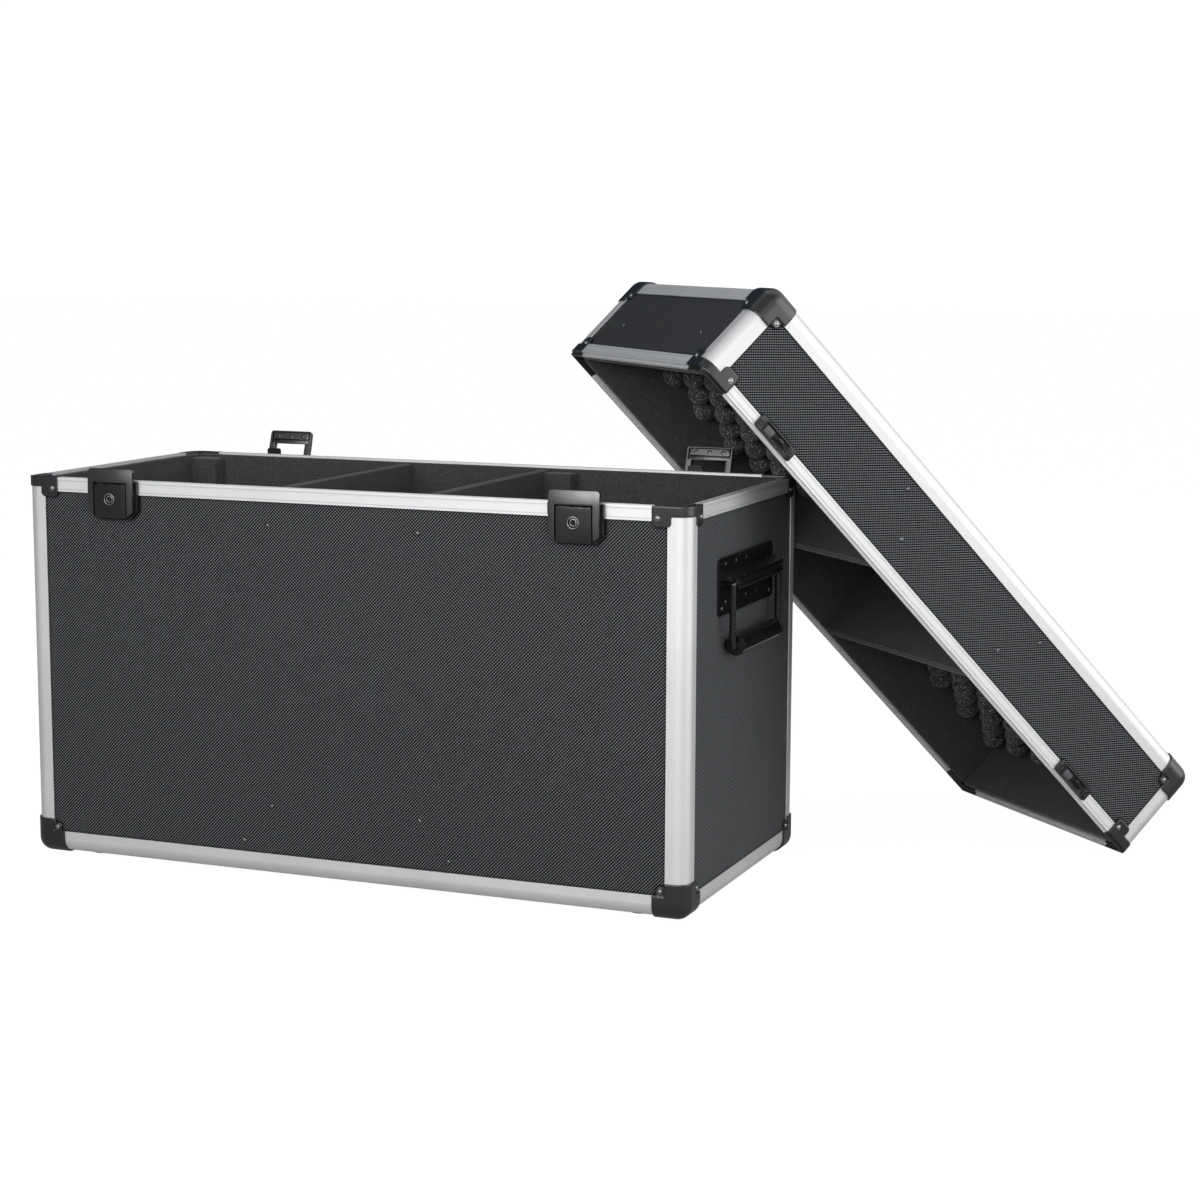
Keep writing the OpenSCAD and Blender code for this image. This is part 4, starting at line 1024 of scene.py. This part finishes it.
# %% Strikes on the lid's rim: a plate with two bosses, a ridge, a ledge for the hook and a slot
def strike_model():
    outline = rounded([(-29, 16, 3), (29, 16, 3), (29, 0.6, 3), (-29, 0.6, 3)])
    body = plate("strike", outline, 0, -3.1)
    cut_by(body, slab("slot", (-3.6, -4, -1), (15.6, -0.4, 7.6)))
    cut_by(body, slab("recess", (-18.4, -4, 2.8), (18.4, -2.2, 12.8)))
    parts = [softened(body, 0.5)]
    for name, low, high, width, segments in (
            ("ridge", (-19, -5.6, 13.2), (19, -1.5, 15.2), 0.5, 3),
            ("ledge", (-19, -7.6, 0.7), (19, -1.5, 2.2), 0.4, 3),
            ("back", (-26, -1.5, 13.2), (26, 1.1, 15.9), 0.2, 2),
            ("catch", (3.2, -3.9, 8.4), (11.6, -1.8, 12.4), 0.4, 3),
            ("rib", (-19.3, -4.0, 1.8), (-18.3, -1.8, 13.6), 0.25, 2),
            ("rib", (18.3, -4.0, 1.8), (19.3, -1.8, 13.6), 0.25, 2)):
        parts.append(softened(slab(name, low, high), width, segments))
    for x in (-24, 24):
        boss = rod("boss", 3.6, -3.7, -1, "Y", (x, 0, 8.3))
        cut_by(boss, rod("hole", 2.0, -5, -2.4, "Y", (x, 0, 8.3)))
        parts.append(softened(boss, 0.3))
    return smooth(one_piece("strike", parts))


def step_model():
    outline = rounded([(-17, 12, 0.6), (-4.4, 12, 0.6), (-4.4, 5.6, 0.6), (-8, 3.4, 0.6),
                       (-17, 3.4, 0.6)], 3)
    return smooth(softened(plate("step", outline, -1.8, -3.8), 0.35))


for name, model, material in (("strikes", strike_model(), black_plastic),
                              ("strike_steps", step_model(), satin_grey)):
    copies = []
    for x in (-LATCH_X, LATCH_X):
        for side in (-1, 1):
            piece = copy_of(model, name)
            shift = FRONT_SHIFT if side < 0 else 0
            at = Matrix.Translation((x - shift, side * half_d, LID_RIM))
            piece.data.transform(at @ Matrix.Rotation(math.pi if side > 0 else 0, 4, "Z"))
            copies.append(piece)
    install(one_piece("lid_" + name, copies),
            lid_place, material, "lid", "black_plastic", "lid_strikes")
    bpy.data.objects.remove(model)
print("latches and strikes done")

# %% [markdown]
# ## Rivets and screws
# Pop rivets hold the corners: a dome with a thin flange and the small pit where the nail broke
# off. The dividers and handles are held by screws with a cross recess. One of each is modelled
# and copied.


# %% One rivet, one screw
def round_head(radius, flange, rings):
    """A disc, its top drawn on to each ring: a radius and a height in millimetres."""
    deselect()
    bpy.ops.mesh.primitive_cylinder_add(
        vertices=28, radius=radius * MM, depth=flange * MM, location=(0, 0, flange / 2 * MM))
    piece = added("round head")
    bpy.ops.object.mode_set(mode="EDIT")
    edit = bmesh.from_edit_mesh(piece.data)
    for face in edit.faces:
        face.select = face.normal.z > 0.9
    bmesh.update_edit_mesh(piece.data)
    last_r, last_z = radius, flange
    for r, z in rings:
        rise = (0, 0, (z - last_z) * MM)
        bpy.ops.mesh.extrude_region_move(TRANSFORM_OT_translate={"value": rise})
        bpy.ops.transform.resize(value=(r / last_r, r / last_r, 1))
        last_r, last_z = r, z
    bpy.ops.object.mode_set(mode="OBJECT")
    return piece


rivet = smooth(round_head(3.1, 0.5, [
    (2.5, 0.5), (2.42, 0.95), (2.1, 1.36), (1.5, 1.62), (0.95, 1.7), (0.72, 1.7), (0.62, 1.3)]), 50)
screw = round_head(2.6, 0.35, [(2.3, 0.72), (1.8, 0.95), (1.35, 1.05)])
for degrees in (0, 90):
    # the cross is cut by two slim blocks
    recess = slab("recess", (-1.35, -0.28, 0.35), (1.35, 0.28, 2))
    recess.data.transform(Matrix.Rotation(math.radians(degrees), 4, "Z"))
    cut_by(screw, recess)
smooth(screw, 40)

# %% [markdown]
# Both shells are alike at their four corners, so a fixing is placed once, on the corner where x
# and y are positive, and mirrored to the others. A place is a point and the direction that its
# head faces.

# %% Their places on a shell
END, SIDE, CLOSED = (1, 0, 0), (0, 1, 0), (0, 0, -1)
# a ball corner's tabs: how far their rivets are from the edges, and how far they stand out
TAB, TAB_PROUD = 29 * MM, 0.8 * MM
# a rim corner's ears: how far they stand out, and how far their rivets are below the rim and
# from the corner
EAR_PROUD, EAR_DROP = 1.4 * MM, 12.6 * MM
EAR_ALONG_SIDE, EAR_ALONG_END = 34.5 * MM, 30.5 * MM
BOARD_FACE = 1.2 * MM  # how deep the boards lie below the profiles


def four_corners(spots):
    """Each spot is a place and a direction for the corner where x and y are positive."""
    return [(Vector((sx * x, sy * y, z)), Vector((sx * nx, sy * ny, nz)))
            for sx in (-1, 1) for sy in (-1, 1) for (x, y, z), (nx, ny, nz) in spots]


def corner_rivets(height):
    """The rivets of one shell, in its own place with the rim at height."""
    ear_z = height - EAR_DROP
    return four_corners([
        ((half_l - TAB, half_d + TAB_PROUD, TAB), SIDE),
        ((half_l + TAB_PROUD, half_d - TAB, TAB), END),
        ((half_l - TAB, half_d - TAB, -TAB_PROUD), CLOSED),
        ((half_l - EAR_ALONG_SIDE, half_d + EAR_PROUD, ear_z), SIDE),
        ((half_l + EAR_PROUD, half_d - EAR_ALONG_END, ear_z), END)])


def side_screw(x, z):
    return (x, half_d - BOARD_FACE, z), SIDE


def scatter(name, model, spots, seed, material, place, body, node):
    """Copies a fixing to its places, each with its own turn and sunk a hair into the face."""
    draw = random.Random(seed)
    sink = 0.05 * MM
    copies = []
    for at, out in spots:
        mesh = model.data.copy()
        spin = Matrix.Rotation(draw.uniform(0, 6.28), 4, "Z")
        facing_out = out.to_track_quat("Z", "Y").to_matrix().to_4x4()
        mesh.transform(Matrix.Translation(at - out * sink) @ facing_out @ spin)
        copies.append(shown("fixing", mesh))
    install(one_piece(name, copies), place, material, body, "steel_fixings", node)
    print(name, len(copies))


# %% Rivets and screws of the base and its handles
edge_screw = side_screw(126 * MM, 36 * MM)
base_screws = four_corners([
    edge_screw, side_screw(divider_x, 78 * MM), side_screw(divider_x, BASE_HEIGHT - 42 * MM)])
# the handles' plates stand a little proud of the profiles
base_screws += four_corners([((half_l + 0.4 * MM, 80 * MM, 315.5 * MM), END)])
scatter("base_rivets", rivet, corner_rivets(BASE_HEIGHT), 11, steel, *BASE, "base_fixings")
scatter("base_screws", screw, base_screws, 12, dark_steel, *BASE, "base_fixings")

# %% Rivets and screws of the lid, whose closed side is drawn at the bottom and then turned over
end_screw = (half_l - BOARD_FACE, 104 * MM, LID_HEIGHT - 50 * MM), END
lid_screws = four_corners([edge_screw, side_screw(divider_x, LID_HEIGHT - 45 * MM), end_screw])


def turned_over(spots):
    return [(Vector((at.x, at.y, LID_HEIGHT - at.z)), Vector((out.x, out.y, -out.z)))
            for at, out in spots]


lid_rivets = corner_rivets(LID_HEIGHT - LID_RIM)
scatter("lid_rivets", rivet, turned_over(lid_rivets), 13, steel, *LID, "lid_fixings")
scatter("lid_screws", screw, turned_over(lid_screws), 14, dark_steel, *LID, "lid_fixings")
for model in (rivet, screw):
    bpy.data.objects.remove(model)

# %% [markdown]
# ## Finish
# The dressed model has to stay inside the CAD model's box.

# %% Leave nothing selected
deselect()
